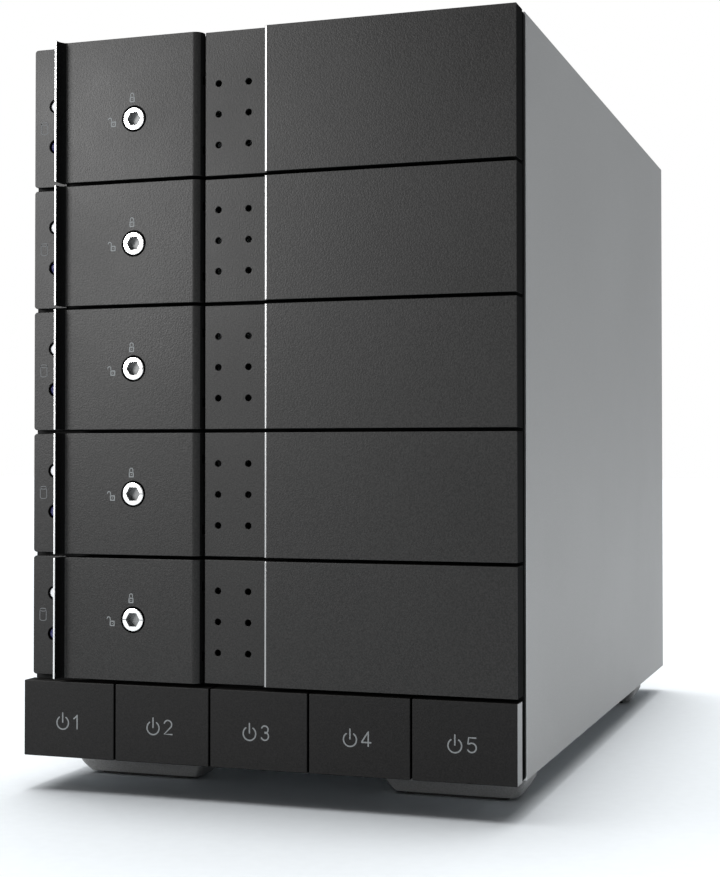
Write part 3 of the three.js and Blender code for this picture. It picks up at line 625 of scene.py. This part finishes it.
def padlock_mark(open_shackle):
    """A small padlock: a square body with a key dot, and a shackle that is closed or swung aside."""
    half = 0.56
    band = 0.32
    outer, inner = half + band / 2, half - band / 2
    body = prism_ring(round_rect(-outer, outer, -outer, outer, 0.22),
                      round_rect(-inner, inner, -inner, inner, 0.1))
    dot = prism(arc(0, 0, 0.15, 0, 342, 19), -MARK_T, 0.0, "front")
    reach = 0.45
    centre = -2 * reach - 0.1 if open_shackle else 0.0
    hoop = [(centre + reach, outer)] + arc(centre, outer + 0.5, reach, 0, 180, 12)
    if not open_shackle:
        hoop.append((centre - reach, outer))
    return gathered(body, dot, stroke(hoop, SHACKLE_LINE))


def drive_mark():
    """A small drum, the sign for a drive."""
    r, h, rise = 0.95, 1.25, 0.38
    lid = [(u, h + v) for u, v in squashed_arc(r, rise, 0, 340, 17)]
    bowl = [(u, v - h) for u, v in squashed_arc(r, rise, 180, 360, 12)]
    side = [(-r, h)] + bowl + [(r, h)]
    return gathered(stroke(lid, DRIVE_LINE, closed=True), stroke(side, DRIVE_LINE))


def squashed_arc(radius, rise, start, end, steps):
    """Points along a stretch of an ellipse about the origin."""
    return [(radius * u, rise * v) for u, v in arc(0, 0, 1, start, end, steps)]


def power_mark():
    """An open ring with an upright bar."""
    ring = arc(0, 0, 1.7, 125, 415, 40)
    return gathered(stroke(ring, BUTTON_LINE), stroke([(0, 0.15), (0, 2.55)], BUTTON_LINE))


# Each digit is a list of strokes.
DIGITS = {
    1: [[(0.35, 1.75), (0.35, -1.75)], [(-0.62, 0.85), (0.32, 1.6)]],
    2: [arc(0, 0.75, 1.05, 165, -35, 14) + [(-1.05, -1.75), (1.15, -1.75)]],
    3: [arc(-0.05, 0.88, 0.9, 155, -84, 15), arc(-0.05, -0.8, 1.0, 86, -155, 17)],
    4: [[(0.55, 1.75), (0.55, -1.75)], [(0.46, 1.62), (-1.15, -0.78)], [(1.2, -0.85), (-1.15, -0.85)]],
    5: [[(1.0, 1.75), (-0.75, 1.75), (-0.95, 0.15)] + arc(0, -0.65, 1.12, 125, -150, 18)],
}


def fleck(shapes, name, body, ink=mark_grey, **where):
    """Print on a front face; the shapes are joined into one."""
    piece = make(name, shapes[0])
    weld(piece, *shapes[1:])
    return set_down(paint(piece, ink), body, "charcoal_front", **where)


# ------------------------------ bay pieces

def bay_front_pattern(top):
    """Front moulding of a bay: wide panel, air strip, lever pocket and lamp strip, with a rim behind."""
    outline = [
        (-HALF_W, BEZEL_BACK), (-HALF_W, STRIP_DEPTH),
        (STRIP_RIGHT, STRIP_DEPTH), (STRIP_RIGHT, POCKET_DEPTH),
        (VENT_LEFT, POCKET_DEPTH), (VENT_LEFT, VENT_DEPTH),
        (PANEL_LEFT, VENT_DEPTH), (PANEL_LEFT, EDGE_DEPTH),
        (PANEL_LEFT + EDGE, 0), (HALF_W, 0), (HALF_W, BEZEL_BACK),
    ]
    piece = soften(make("bay_front", prism(outline, BAY_LOW, top)), 0.16)
    round_left = round_rect(-HALF_W, HALF_W + 5, BAY_LOW, top, FRONT_CORNER, 6)
    combine(piece, prism(round_left, -1, BEZEL_BACK + 1, "front"), "INTERSECT")
    in_w, in_h = RIM_HALF_W - RIM_WALL, RIM_HALF_H - RIM_WALL
    weld(piece, block(-RIM_HALF_W, RIM_HALF_W, BEZEL_BACK - 0.5, RIM_BACK, -RIM_HALF_H, RIM_HALF_H))
    hollows = [
        block(-in_w, in_w, BEZEL_BACK - 0.001, RIM_BACK + 1, -in_h, in_h),
        block(PANEL_LEFT + 2, in_w - 0.01, 2, RIM_BACK, -in_h + 0.01, in_h - 0.01),
        block(VENT_LEFT + 1.6, PANEL_LEFT, VENT_DEPTH + 1.5, RIM_BACK, -in_h + 0.02, in_h - 0.02),
    ]
    for hollow in hollows:
        carve(piece, hollow)
    drill = [(0, -1), (AIR_HOLE_R + DRILL_FLARE, VENT_DEPTH + 0.1 - DRILL_FLARE),
             (AIR_HOLE_R, VENT_DEPTH + 0.1), (AIR_HOLE_R, 6), (0, 6)]
    carve(piece, *[shifted(turned(drill, 20), x=x, z=z) for x in AIR_HOLE_X for z in AIR_HOLE_Z])
    lamp_drill = [(0, 2), (LAMP_HOLE_R + DRILL_FLARE, STRIP_DEPTH + 0.1 - DRILL_FLARE),
                  (LAMP_HOLE_R, STRIP_DEPTH + 0.1), (LAMP_HOLE_R, 8), (0, 8)]
    carve(piece, *[shifted(turned(lamp_drill, 32), x=LAMP_X, z=z) for z in LAMP_Z])
    for z in LUG_Z:
        weld(piece, lug(z))
    carve(piece, pin_bore(LUG_BORE_HALF))

    def which(centre, normal):
        on_bevel = PANEL_LEFT - 0.01 < centre.x < PANEL_LEFT + EDGE + 0.1 and centre.y < EDGE_DEPTH + 0.1
        if on_bevel and -0.9 < normal.x < -0.2:
            return 1
        if centre.y > 2.6 and centre.x < STRIP_RIGHT and centre.y < STRIP_DEPTH + 0.05:
            return 2
        # Walls of the air and lamp holes, the right side face and all faces behind the lamp strip get painted
        # shade (finish 3).
        in_hole = centre.y > VENT_DEPTH + 0.12 and abs(normal.y) < 0.9 and centre.x < PANEL_LEFT
        side_face = normal.x > 0.9 and centre.x > -20 and centre.y > 0.3
        if in_hole or side_face or centre.y > STRIP_DEPTH + 0.1:
            return 3
        return 0

    return paint(piece, charcoal_coat, bevel_edge, strip_coat, painted_shade, choose=which)


def lug(z):
    """An ear on the pocket's wall that holds the hinge pin."""
    ear = arc(HINGE_X, HINGE_DEPTH, LUG_R, 180, 360, 16)
    outline = [(HINGE_X - 1.0, POCKET_DEPTH + 0.4), *ear,
               (HINGE_X + 0.8, HINGE_DEPTH + 1.2), (HINGE_X + 0.8, POCKET_DEPTH + 0.4)]
    return prism(outline, z - LUG_HALF_T, z + LUG_HALF_T)


def pin_bore(half):
    """The upright hole for the hinge pin, to be cut out. half is half of its height."""
    bore = turned([(0, -half), (PIN_BORE_R, -half), (PIN_BORE_R, half), (0, half)], 24)
    return shifted(bore, x=HINGE_X, depth=HINGE_DEPTH, turn=90, axis="X")


def lever_pattern(top):
    """Lever: flat face, lip curled outwards at the left, round hinge end at the right."""
    outline = [(LIP_LEFT, -LIP_OUT), (LIP_LEFT + LIP_TIP, -LIP_OUT)]
    outline += sweep((LIP_LEFT + LIP_TIP, -LIP_OUT + 0.05), (LIP_LEFT + 0.65, -1.2),
                     (LIP_LEFT + 1.0, -0.2), (LIP_LEFT + 2.2, 0.0), 14)[1:]
    outline += arc(HINGE_X, HINGE_DEPTH, HINGE_DEPTH, -90, 172, 30)
    outline += [(HINGE_X - HINGE_DEPTH, LEVER_T)]
    outline += arc(LIP_LEFT + 1.5, LEVER_T - 1.5, 1.5, 90, 180, 8)
    piece = soften(make("lever", prism(outline, BAY_LOW, top)), 0.14, angle=50)
    half = LUG_HALF_T + LUG_ROOM
    for z in LUG_Z:
        carve(piece, prism(arc(HINGE_X, HINGE_DEPTH, LUG_R + 0.3, 0, 348, 29), z - half, z + half))
    for z in LUG_Z:
        carve(piece, block(HINGE_X - 2.2, HINGE_X + 4, LUG_CUT_DEPTH, 8, z - half - 0.001, z + half + 0.001))
    carve(piece, pin_bore(LEVER_BORE_HALF))
    hole = [(0, -2), (LOCK_HOLE_R + 1.0, -0.9), (LOCK_HOLE_R, 0.1), (LOCK_HOLE_R, 4), (0, 4)]
    carve(piece, shifted(turned(hole, 48), x=LOCK_X))

    def which(centre, normal):
        if centre.y < -LIP_OUT + 0.2 and normal.y < -0.5:
            return 1
        # The inside of the lip's curl, the lock hole's wall, the faces behind the hinge end, the top and
        # bottom faces and the back get painted shade (finish 2).
        if centre.x < LIP_LEFT + 2.0 and centre.y < -0.12:
            return 2
        in_lock_hole = (centre.x - LOCK_X) ** 2 + centre.z ** 2 < (LOCK_HOLE_R + 0.02) ** 2
        behind_end = centre.x > HINGE_X + 1.0 and normal.x > 0.8
        level = abs(normal.z) > 0.9
        at_back = centre.y > LEVER_T - 0.1
        return 2 if (in_lock_hole and centre.y > 0.1) or behind_end or level or at_back else 0

    return paint(piece, charcoal_coat, lip_edge, painted_shade, choose=which)


def lock_pattern():
    """Key lock: polished head with a hexagon socket, dark flange and a short cam behind the lever."""
    back = LEVER_T + 0.3
    head = [(0, -0.1), (LOCK_R - 0.22, -0.1), (LOCK_R - 0.06, -0.04), (LOCK_R, 0.12), (LOCK_R, back),
            (CAM_R, back), (CAM_R, LEVER_T + 1.1), (0, LEVER_T + 1.1)]
    piece = make("lock", turned(head, 64))
    weld(piece, prism(round_rect(-2, 2, -2, 8, 0.8), LEVER_T + 1.0, POCKET_DEPTH - 0.6, "front"))
    reach = HEX_FLATS / math.sqrt(3)
    carve(piece, prism(arc(0, 0, reach, 0, 300, 5), -1, HEX_DEPTH, "front"))
    ticks = [block(side * 2.45 - 0.4, side * 2.45 + 0.4, -0.5, 0.05, -0.09, 0.09) for side in (-1, 1)]
    carve(piece, *ticks)

    def which(centre, normal):
        radius = math.hypot(centre.x, centre.z)
        in_tick = radius > 2.02 and -0.08 < centre.y < 0.1 and abs(centre.z) < 0.1 and radius < 2.87
        if (centre.y > 0.25 and radius > 2.5) or in_tick:
            return 1
        # Walls and floor of the hexagon socket get the painted socket shade (finish 2).
        return 2 if radius < reach and centre.y > 0 else 0

    return paint(piece, lock_silver, lock_dark, painted_socket_shade, choose=which)


def lamp_pattern():
    """Two domed lenses on a bar of clear plastic."""
    rim, dome, back = 5.2, 0.45, 10.4
    profile = [(0, rim - dome)]
    for a in range(15, 91, 15):
        profile.append((LENS_R * math.sin(math.radians(a)), rim - dome * math.cos(math.radians(a))))
    profile += [(LENS_R, back), (0, back)]
    lenses = [shifted(turned(profile, 32), z=z) for z in LAMP_Z]
    bar = block(-1.5, 1.5, back - 0.2, 12, LAMP_Z[0] - 1.5, LAMP_Z[1] + 1.5)
    piece = make("lamps", bar)
    for lens in lenses:
        weld(piece, lens)
    return paint(piece, lens_clear, lens_blue, choose=lambda centre, normal: 1 if centre.z < 0 else 0)


def add_bay(k, fronts, levers, lock, lamps):
    """Copies the patterns into one bay and prints its marks."""
    top = "tall" if k == 1 else "plain"
    z = BAY_Z[k]
    set_down(copy_of(fronts[top], f"bay_front_{k}"), f"tray_{k}", "charcoal_front", z=z,
             stands_for=(f"tray_bezel_{k}",))
    set_down(copy_of(levers[top], f"pull_lever_{k}"), f"lever_{k}", "charcoal_front", z=z,
             stands_for=(f"tray_lever_{k}",))
    set_down(copy_of(lock, f"key_lock_{k}"), f"lock_{k}", "lock_metal", x=LOCK_X, z=z,
             stands_for=(f"lock_cylinder_{k}",))
    set_down(copy_of(lamps, f"lamp_lenses_{k}"), f"tray_{k}", "clear_lamp", x=LAMP_X, z=z,
             stands_for=(f"light_guide_{k}",))
    fleck([padlock_mark(False)], f"closed_mark_{k}", f"lever_{k}", x=LOCK_X - 0.5, z=z + 5.0)
    fleck([padlock_mark(True)], f"open_mark_{k}", f"lever_{k}", x=LOCK_X - 5.9, z=z - 1.1)
    fleck([drive_mark()], f"drive_mark_{k}", f"tray_{k}", ink=mark_faint, x=-63.7, depth=STRIP_DEPTH,
          z=z + 0.1)


def add_bays():
    """The five bays; the top one is a little taller than the others."""
    tall, plain = BAY_TOP[1], BAY_TOP[2]
    fronts = {"tall": bay_front_pattern(tall), "plain": bay_front_pattern(plain)}
    levers = {"tall": lever_pattern(tall), "plain": lever_pattern(plain)}
    lock = lock_pattern()
    lamps = lamp_pattern()
    for k in BAYS:
        add_bay(k, fronts, levers, lock, lamps)
    discard(*fronts.values(), *levers.values(), lock, lamps)


# ------------------------------ drive sleds

def side_sheet(outline, x0, x1):
    """A solid with an outline of (depth, z), between two places across."""
    return shifted(prism(outline, -x1, -x0, "front"), turn=90, axis="Z")


def sled_pattern():
    """Tray behind a bay front: floor with air openings, and two walls with notches and screw holes."""
    low, floor_top = SLED_LOW, SLED_LOW + SLED_FLOOR
    top = floor_top + SLED_WALL_HIGH
    half = SLED_OPENING_HALF
    piece = make("sled", block(-SLED_HALF_W, SLED_HALF_W, SLED_FRONT, SLED_BACK, low, floor_top))
    openings = [prism(round_rect(x0, x1, y - half, y + half, 2.5, 4), low - 1, floor_top + 1)
                for x0, x1 in SLED_OPENING_X for y in SLED_OPENING_Y]
    carve(piece, *openings)
    corner = SLED_CORNER
    outline = [(SLED_FRONT, low), (SLED_BACK, low)] + arc(SLED_BACK - corner, top - corner, corner, 0, 90, 4)
    for y in SLED_NOTCH_Y:
        outline += [(y + 8, top), (y + 6, top - 4), (y - 6, top - 4), (y - 8, top)]
    outline += arc(SLED_FRONT + corner, top - corner, corner, 90, 180, 4)
    outer = DRIVE_HALF_W + SLED_WALL
    weld(piece, side_sheet(outline, DRIVE_HALF_W, outer), side_sheet(outline, -outer, -DRIVE_HALF_W))
    drill = [(0, -60), (1.8, -60), (1.8, 60), (0, 60)]
    holes = [shifted(turned(drill, 24), depth=y, z=floor_top + DRIVE_SCREW_UP, turn=90, axis="Z")
             for y in DRIVE_SCREW_Y]
    carve(piece, *holes)
    return paint(soften(piece, 0.22, angle=60), tray_plastic)


def add_sleds():
    """Five sleds, each with the four screws that hold its drive."""
    pattern = sled_pattern()
    for k in BAYS:
        set_down(copy_of(pattern, f"drive_sled_{k}"), f"tray_{k}", "tray_plastic", z=BAY_Z[k],
                 stands_for=(f"tray_sled_{k}",))
        z = BAY_Z[k] + SLED_LOW + SLED_FLOOR + DRIVE_SCREW_UP
        spots = [(side, y) for y in DRIVE_SCREW_Y for side in (-1, 1)]
        for number, (side, y) in enumerate(spots, 1):
            add_screw(f"drive_screw_{k}_{number}", side * (DRIVE_HALF_W + SLED_WALL + 0.9), y, z,
                      DRIVE_SCREW_R, body=f"tray_{k}", turn=-90 * side)
    discard(pattern)


# ------------------------------ push buttons

def add_button(k):
    """A hollow button with its switch stem, a power mark and a digit."""
    low, high = corners_mm(f"power_button_{k}")
    half = (high.x - low.x) / 2
    middle = (high.x + low.x) / 2
    tall = (BUTTON_HIGH - BUTTON_LOW) / 2
    z = (BUTTON_HIGH + BUTTON_LOW) / 2
    piece = make("button", block(-half, half, 0, BUTTON_DEPTH, -tall, tall))
    soften(piece, 0.22, segments=3)
    wall = BUTTON_WALL
    carve(piece, block(-half + wall, half - wall, wall, BUTTON_DEPTH + 1, -tall + wall, tall - wall))
    stem_back = high.y - FRONT_Y
    arm = SWITCH_STEM / 2
    weld(piece, block(-arm, arm, wall - 0.5, stem_back, -arm, arm))
    outer = {1: -1, 5: 1}.get(k, 0)

    def which(centre, normal):
        if outer and normal.x * outer > 0.9 and centre.x * outer > half - 0.1:
            return 1
        # Side faces between the buttons get painted shade (finish 2).
        return 2 if abs(normal.x) > 0.9 else 0

    paint(piece, button_coat, button_end, painted_shade, choose=which)
    piece.name = f"push_button_{k}"
    set_down(piece, f"button_{k}", "dark_button", x=middle, z=z, stands_for=(f"power_button_{k}",))
    nudge = 0.65 if k == 1 else 0.0
    fleck([power_mark()], f"power_mark_{k}", f"button_{k}", x=middle - 2.35 + nudge,
          z=BUTTON_MARK_Z)
    digit = [stroke(path, BUTTON_LINE) for path in DIGITS[k]]
    fleck(digit, f"digit_{k}", f"button_{k}", x=middle + 1.85 + nudge / 2, z=BUTTON_DIGIT_Z)


# ------------------------------ casing

def add_sleeve():
    """Folded aluminium: a top and two sides, with a bright cut front edge."""
    low, high = corners_mm("outer_shell")
    wall = 1.5
    fold = 0.5
    outer = [(low.x, low.z), (high.x, low.z)] + arc(high.x - fold, high.z - fold, fold, 0, 90, 4) \
        + arc(low.x + fold, high.z - fold, fold, 90, 180, 4)
    inner = [(low.x + wall, low.z - 1), (high.x - wall, low.z - 1), (high.x - wall, high.z - wall),
             (low.x + wall, high.z - wall)]
    front, back = low.y - FRONT_Y, high.y - FRONT_Y
    piece = make("outer_sleeve", prism(outer, front, back, "front"))
    carve(piece, prism(inner, front - 1, back + 1, "front"))
    soften(piece, 0.22, angle=60)

    def which(centre, normal):
        return 1 if centre.y < front + 0.3 and normal.y < -0.3 else 0

    paint(piece, aluminium, aluminium_rim, choose=which)
    set_down(piece, "chassis", "aluminium_shell", stands_for=("outer_shell",))


def add_feet():
    """Grey bars, wide above and narrow below, each on a rubber pad."""
    for node in ("front_left_foot", "front_right_foot", "rear_left_foot", "rear_right_foot"):
        low, high = corners_mm(node)
        middle = (low + high) / 2
        half_x, half_y = (high.x - low.x) / 2, (high.y - low.y) / 2
        bm = bmesh.new()
        rings = []
        for z, share_x, share_y in (*FOOT_TAPER, (high.z, 1.0, 1.0)):
            x, y = half_x * share_x, half_y * share_y
            rings.append([bm.verts.new((u, v, z)) for u, v in round_rect(-x, x, -y, y, FOOT_CORNER, 6)])
        for near, far in zip(rings, rings[1:]):
            for i in range(len(near)):
                bm.faces.new((near[i - 1], near[i], far[i], far[i - 1]))
        bm.faces.new(rings[0])
        bm.faces.new(rings[-1])
        bmesh.ops.recalc_face_normals(bm, faces=bm.faces)
        foot = paint(soften(make(f"{node}_bar", bm), 0.25), foot_grey)
        depth = middle.y - FRONT_Y
        set_down(foot, "chassis", "foot_rubber", x=middle.x, depth=depth, stands_for=(node,))
        pad_outline = round_rect(-PAD_HALF_X, PAD_HALF_X, -PAD_HALF_Y, PAD_HALF_Y, FOOT_CORNER, 6)
        pad = soften(make(f"{node}_pad", prism(pad_outline, 0.0, PAD_T)), 0.2)
        set_down(paint(pad, pad_rubber), "chassis", "foot_rubber", x=middle.x, depth=depth)


# ------------------------------ rear

def add_rear_panel():
    """Powder-coated sheet with the fan opening, air slots and the two ports."""
    low, high = corners_mm("rear_panel")
    fan_low, fan_high = corners_mm("fan_frame")
    fan = (fan_low + fan_high) / 2
    back = high.y - FRONT_Y
    front = back - SHEET_T
    piece = make("rear_cover", block(low.x, high.x, front, back, low.z, high.z))

    def drill(radius, steps):
        return turned([(0, front - 1), (radius, front - 1), (radius, back + 1), (0, back + 1)], steps)

    carve(piece, shifted(drill(FAN_OPENING_R, 96), x=fan.x, z=fan.z))
    slots = [prism(round_rect(-56 + n * 8, -52 + n * 8, 20, 44, 1.9, 8), front - 1, back + 1, "front")
             for n in range(8)]
    carve(piece, *slots)
    ports = [prism(round_rect(22, 32, 23, 27.2, 2, 8), front - 1, back + 1, "front"),
             shifted(drill(6.2, 48), x=50, z=PORT_Z)]
    carve(piece, *ports)
    weld(piece, *[block(x, x + SHEET_T, front - 10, front + 0.1, low.z, high.z)
                  for x in (low.x, high.x - SHEET_T)])
    paint(piece, powder_black)
    set_down(piece, "chassis", "rear_paint", stands_for=("rear_panel",))


def wire_ring(radius, wire, steps=72):
    """A ring of round wire about the depth axis."""
    section = [(radius + wire * math.cos(math.radians(a)), wire * math.sin(math.radians(a)))
               for a in range(0, 360, 45)]
    return turned(section, steps, closed=True)


def add_fan_guard():
    """Wire rings on two crossed wires, with an eye at each corner for its screw."""
    low, high = corners_mm("fan_guard")
    centre = (low + high) / 2
    depth = centre.y - FRONT_Y
    reach = GUARD_REACH
    shapes = [wire_ring(radius, GUARD_WIRE) for radius in GUARD_RINGS]
    thin = GUARD_WIRE * 0.9
    for turn in (45, 135):
        rod = turned([(0, -GUARD_ROD), (thin, -GUARD_ROD), (thin, GUARD_ROD), (0, GUARD_ROD)], 12)
        shapes.append(shifted(shifted(rod, turn=90, axis="Z"), turn=turn))
    for x in (-reach, reach):
        for z in (-reach, reach):
            shapes.append(shifted(wire_ring(2.9, 0.7, 32), x=x, z=z))
    piece = paint(make("wire_guard", gathered(*shapes)), wire_chrome)
    set_down(piece, "chassis", "pin_steel", x=centre.x, depth=depth, z=centre.z, stands_for=("fan_guard",))
    corners = [(x, z) for z in (-reach, reach) for x in (-reach, reach)]
    for number, (x, z) in enumerate(corners, 1):
        add_screw(f"fan_screw_{number}", x, depth + 0.8, centre.z + z, 2.9)


# Patterns of the screws, by radius.
SCREWS = {}


def screw_shape(radius):
    """A pan head with a cross slot, its top at depth 0 and pointing backwards."""
    dome = [(0, 0)] + [(radius * math.sin(math.radians(a)), -radius * 0.45 * (1 - math.cos(math.radians(a))))
                       for a in range(15, 91, 15)]
    profile = dome + [(radius, -radius * 0.6), (radius * 0.5, -radius * 0.6), (radius * 0.5, -radius * 1.2),
                      (0, -radius * 1.2)]
    piece = make("screw", turned(profile, 32))
    arm, slot = radius * 0.55, radius * 0.14
    cross = [block(-arm, arm, -0.55, 1, -slot, slot), block(-slot, slot, -0.55, 1, -arm, arm)]
    for bar in cross:
        carve(piece, bar)
    return paint(piece, screw_steel)


def add_screw(name, x, depth, z, radius, body="chassis", turn=0):
    """Sets a screw down. Its head points backwards, or as far from that as turn says, in degrees."""
    if radius not in SCREWS:
        SCREWS[radius] = screw_shape(radius)
    piece = copy_of(SCREWS[radius], name)
    piece.data.transform(Matrix.Rotation(math.radians(turn), 4, "Z"))
    set_down(piece, body, "pin_steel", x=x, depth=depth, z=z)


def add_rear_screws():
    """Four screws at the corners of the rear panel and two beside the data port."""
    low, high = corners_mm("rear_panel")
    back = high.y - FRONT_Y
    spots = [(x, z) for x in (low.x + 4.5, high.x - 4.5) for z in (low.z + 4, high.z - 4)]
    spots += [(17.5, PORT_Z), (36.5, PORT_Z)]
    for number, (x, z) in enumerate(spots, 1):
        add_screw(f"cover_screw_{number}", x, back + 1.1, z, 2.0)


def blade_shape(middle):
    """One curved blade, from just inside the hub outwards. It leans less and grows wider on the way."""
    bm = bmesh.new()
    steps = 8
    rows = []
    for i in range(steps + 1):
        along = i / steps
        radius = HUB_R - 1 + BLADE_REACH * along
        pitch = math.radians(38 - 12 * along)
        chord = BLADE_CHORD * (0.85 + 0.3 * along)
        row = []
        for j in range(steps + 1):
            across = j / steps - 0.5
            sag = 1.6 * (1 - (2 * across) ** 2)
            u = across * chord
            y = -u * math.sin(pitch) + sag * math.cos(pitch) - 0.8
            z = u * math.cos(pitch) + sag * math.sin(pitch) + 8 * along
            row.append(bm.verts.new((math.sqrt(max(radius * radius - z * z, 1)), middle + y, z)))
        rows.append(row)
    for near, far in zip(rows, rows[1:]):
        for i in range(steps):
            bm.faces.new((near[i], near[i + 1], far[i + 1], far[i]))
    bmesh.ops.solidify(bm, geom=bm.faces[:], thickness=BLADE_T)
    bmesh.ops.recalc_face_normals(bm, faces=bm.faces)
    return bm


def add_rotor():
    """Hub and seven curved blades."""
    fan_low, fan_high = corners_mm("fan_frame")
    back = ROTOR_BACK
    front = back - ROTOR_LENGTH
    hub = [(0, front + 1), (HUB_R - 1.5, front + 1), (HUB_R, front + 2.5), (HUB_R, back - 0.8),
           (HUB_R - 0.8, back), (1.6, back), (1.6, back + 2.6), (0, back + 2.6)]
    shapes = [turned(hub, 64)]
    for blade in range(BLADES):
        shapes.append(shifted(blade_shape((front + back) / 2), turn=blade * 360 / BLADES))
    piece = paint(make("fan_blades", gathered(*shapes)), fan_plastic)
    set_down(piece, "fan_rotor", "fan_plastic", z=(fan_low.z + fan_high.z) / 2, stands_for=("fan_rotor",))


# ------------------------------ finishes on the CAD pieces

def dress_cad_pieces():
    """Gives the CAD solids that stay in the model their finishes."""
    looks = {
        "front_frame": frame_black, "base_plate": sheet_steel, "cage_left": sheet_steel,
        "cage_right": sheet_steel, "cage_shelf": sheet_steel, "backplane_board": board_green,
        "lamp_board": board_green, "button_board": board_green, "controller_board": board_green,
        "data_port": port_nickel, "power_inlet": socket_black, "fan_frame": fan_plastic,
    }
    for k in BAYS:
        looks[f"lever_pin_{k}"] = wire_chrome
        looks[f"drive_socket_{k}"] = socket_black
    for node, look in looks.items():
        for slot in frame["nodes"][node].material_slots:
            slot.material = look


# ------------------------------ studio

def add_camera():
    """The viewpoint is right of the front, at half height, and looks slightly up."""
    lens = bpy.data.cameras.new("camera")
    lens.lens = 67.09
    lens.sensor_width = 36.0
    lens.shift_x = 0.0068
    lens.shift_y = -0.0123
    lens.clip_start = 0.01
    camera = bpy.data.objects.new("camera", lens)
    bpy.context.scene.collection.objects.link(camera)
    camera.location = Vector((155.27, -501.33, 87.59)) * MM
    yaw, pitch = math.radians(18.752), math.radians(1.038)
    ahead = Vector((-math.sin(yaw) * math.cos(pitch), math.cos(yaw) * math.cos(pitch), math.sin(pitch)))
    camera.rotation_euler = ahead.to_track_quat("-Z", "Y").to_euler()
    bpy.context.scene.camera = camera


def add_lamp(name, kind, place, target, energy, size):
    """A white lamp aimed at a point. size is an angle for a SUN, else a width and a height in metres."""
    data = bpy.data.lights.new(name, kind)
    data.energy = energy
    if kind == "SUN":
        data.angle = size
    else:
        data.shape = "RECTANGLE"
        data.size, data.size_y = size
    lamp = bpy.data.objects.new(name, data)
    bpy.context.scene.collection.objects.link(lamp)
    lamp.location = place
    lamp.rotation_euler = (Vector(target) - Vector(place)).to_track_quat("-Z", "Y").to_euler()
    return lamp


def add_studio():
    """A pale floor, two soft suns from above and two panels that light the front but not the floor."""
    scene = bpy.context.scene
    scene.view_settings.view_transform = "Standard"
    bm = bmesh.new()
    bmesh.ops.create_grid(bm, x_segments=8, y_segments=8, size=6.0)
    floor = make("studio_floor", bm)
    paper = finish("floor_paper", (0.86, 0.9, 0.93), 0.75, grain=300.0, contrast=0.01, bump=0.02, rub=0.0)
    floor.data.materials.append(paper)
    world = bpy.data.worlds.new("studio")
    world.use_nodes = True
    tree = world.node_tree
    backdrop = tree.nodes["Background"]
    backdrop.inputs["Color"].default_value = (1, 1, 1, 1)
    room = tree.nodes.new("ShaderNodeBackground")
    room.inputs["Color"].default_value = (0.97, 0.985, 1.0, 1)
    room.inputs["Strength"].default_value = 0.16
    seen = tree.nodes.new("ShaderNodeLightPath")
    mix = tree.nodes.new("ShaderNodeMixShader")
    tree.links.new(seen.outputs["Is Camera Ray"], mix.inputs[0])
    tree.links.new(room.outputs[0], mix.inputs[1])
    tree.links.new(backdrop.outputs[0], mix.inputs[2])
    tree.links.new(mix.outputs[0], tree.nodes["World Output"].inputs["Surface"])
    scene.world = world
    add_lamp("sky_panel", "SUN", (-0.1, 0.17, 1.0), (0, 0, 0), 2.85, math.radians(70))
    add_lamp("top_panel", "SUN", (-0.045, 0.075, 1.0), (0, 0, 0), 0.98, math.radians(16))
    front = add_lamp("front_panel", "AREA", (-0.74, -1.09, 0.43), (-0.06, -0.12, 0.15), 12.4, (0.45, 0.5))
    edge = add_lamp("edge_panel", "AREA", (-1.15, -0.45, 0.42), (0.0, -0.12, 0.15), 2.5, (0.4, 0.45))
    unlit = bpy.data.collections.new("floor_stays_out_of")
    unlit.objects.link(floor)
    unlit.collection_objects[0].light_linking.link_state = "EXCLUDE"
    for lamp in (front, edge):
        lamp.light_linking.receiver_collection = unlit


add_camera()
add_bays()
add_sleds()
for number in BAYS:
    add_button(number)
add_sleeve()
add_feet()
add_rear_panel()
add_fan_guard()
add_rear_screws()
discard(*SCREWS.values())
add_rotor()
dress_cad_pieces()
add_studio()
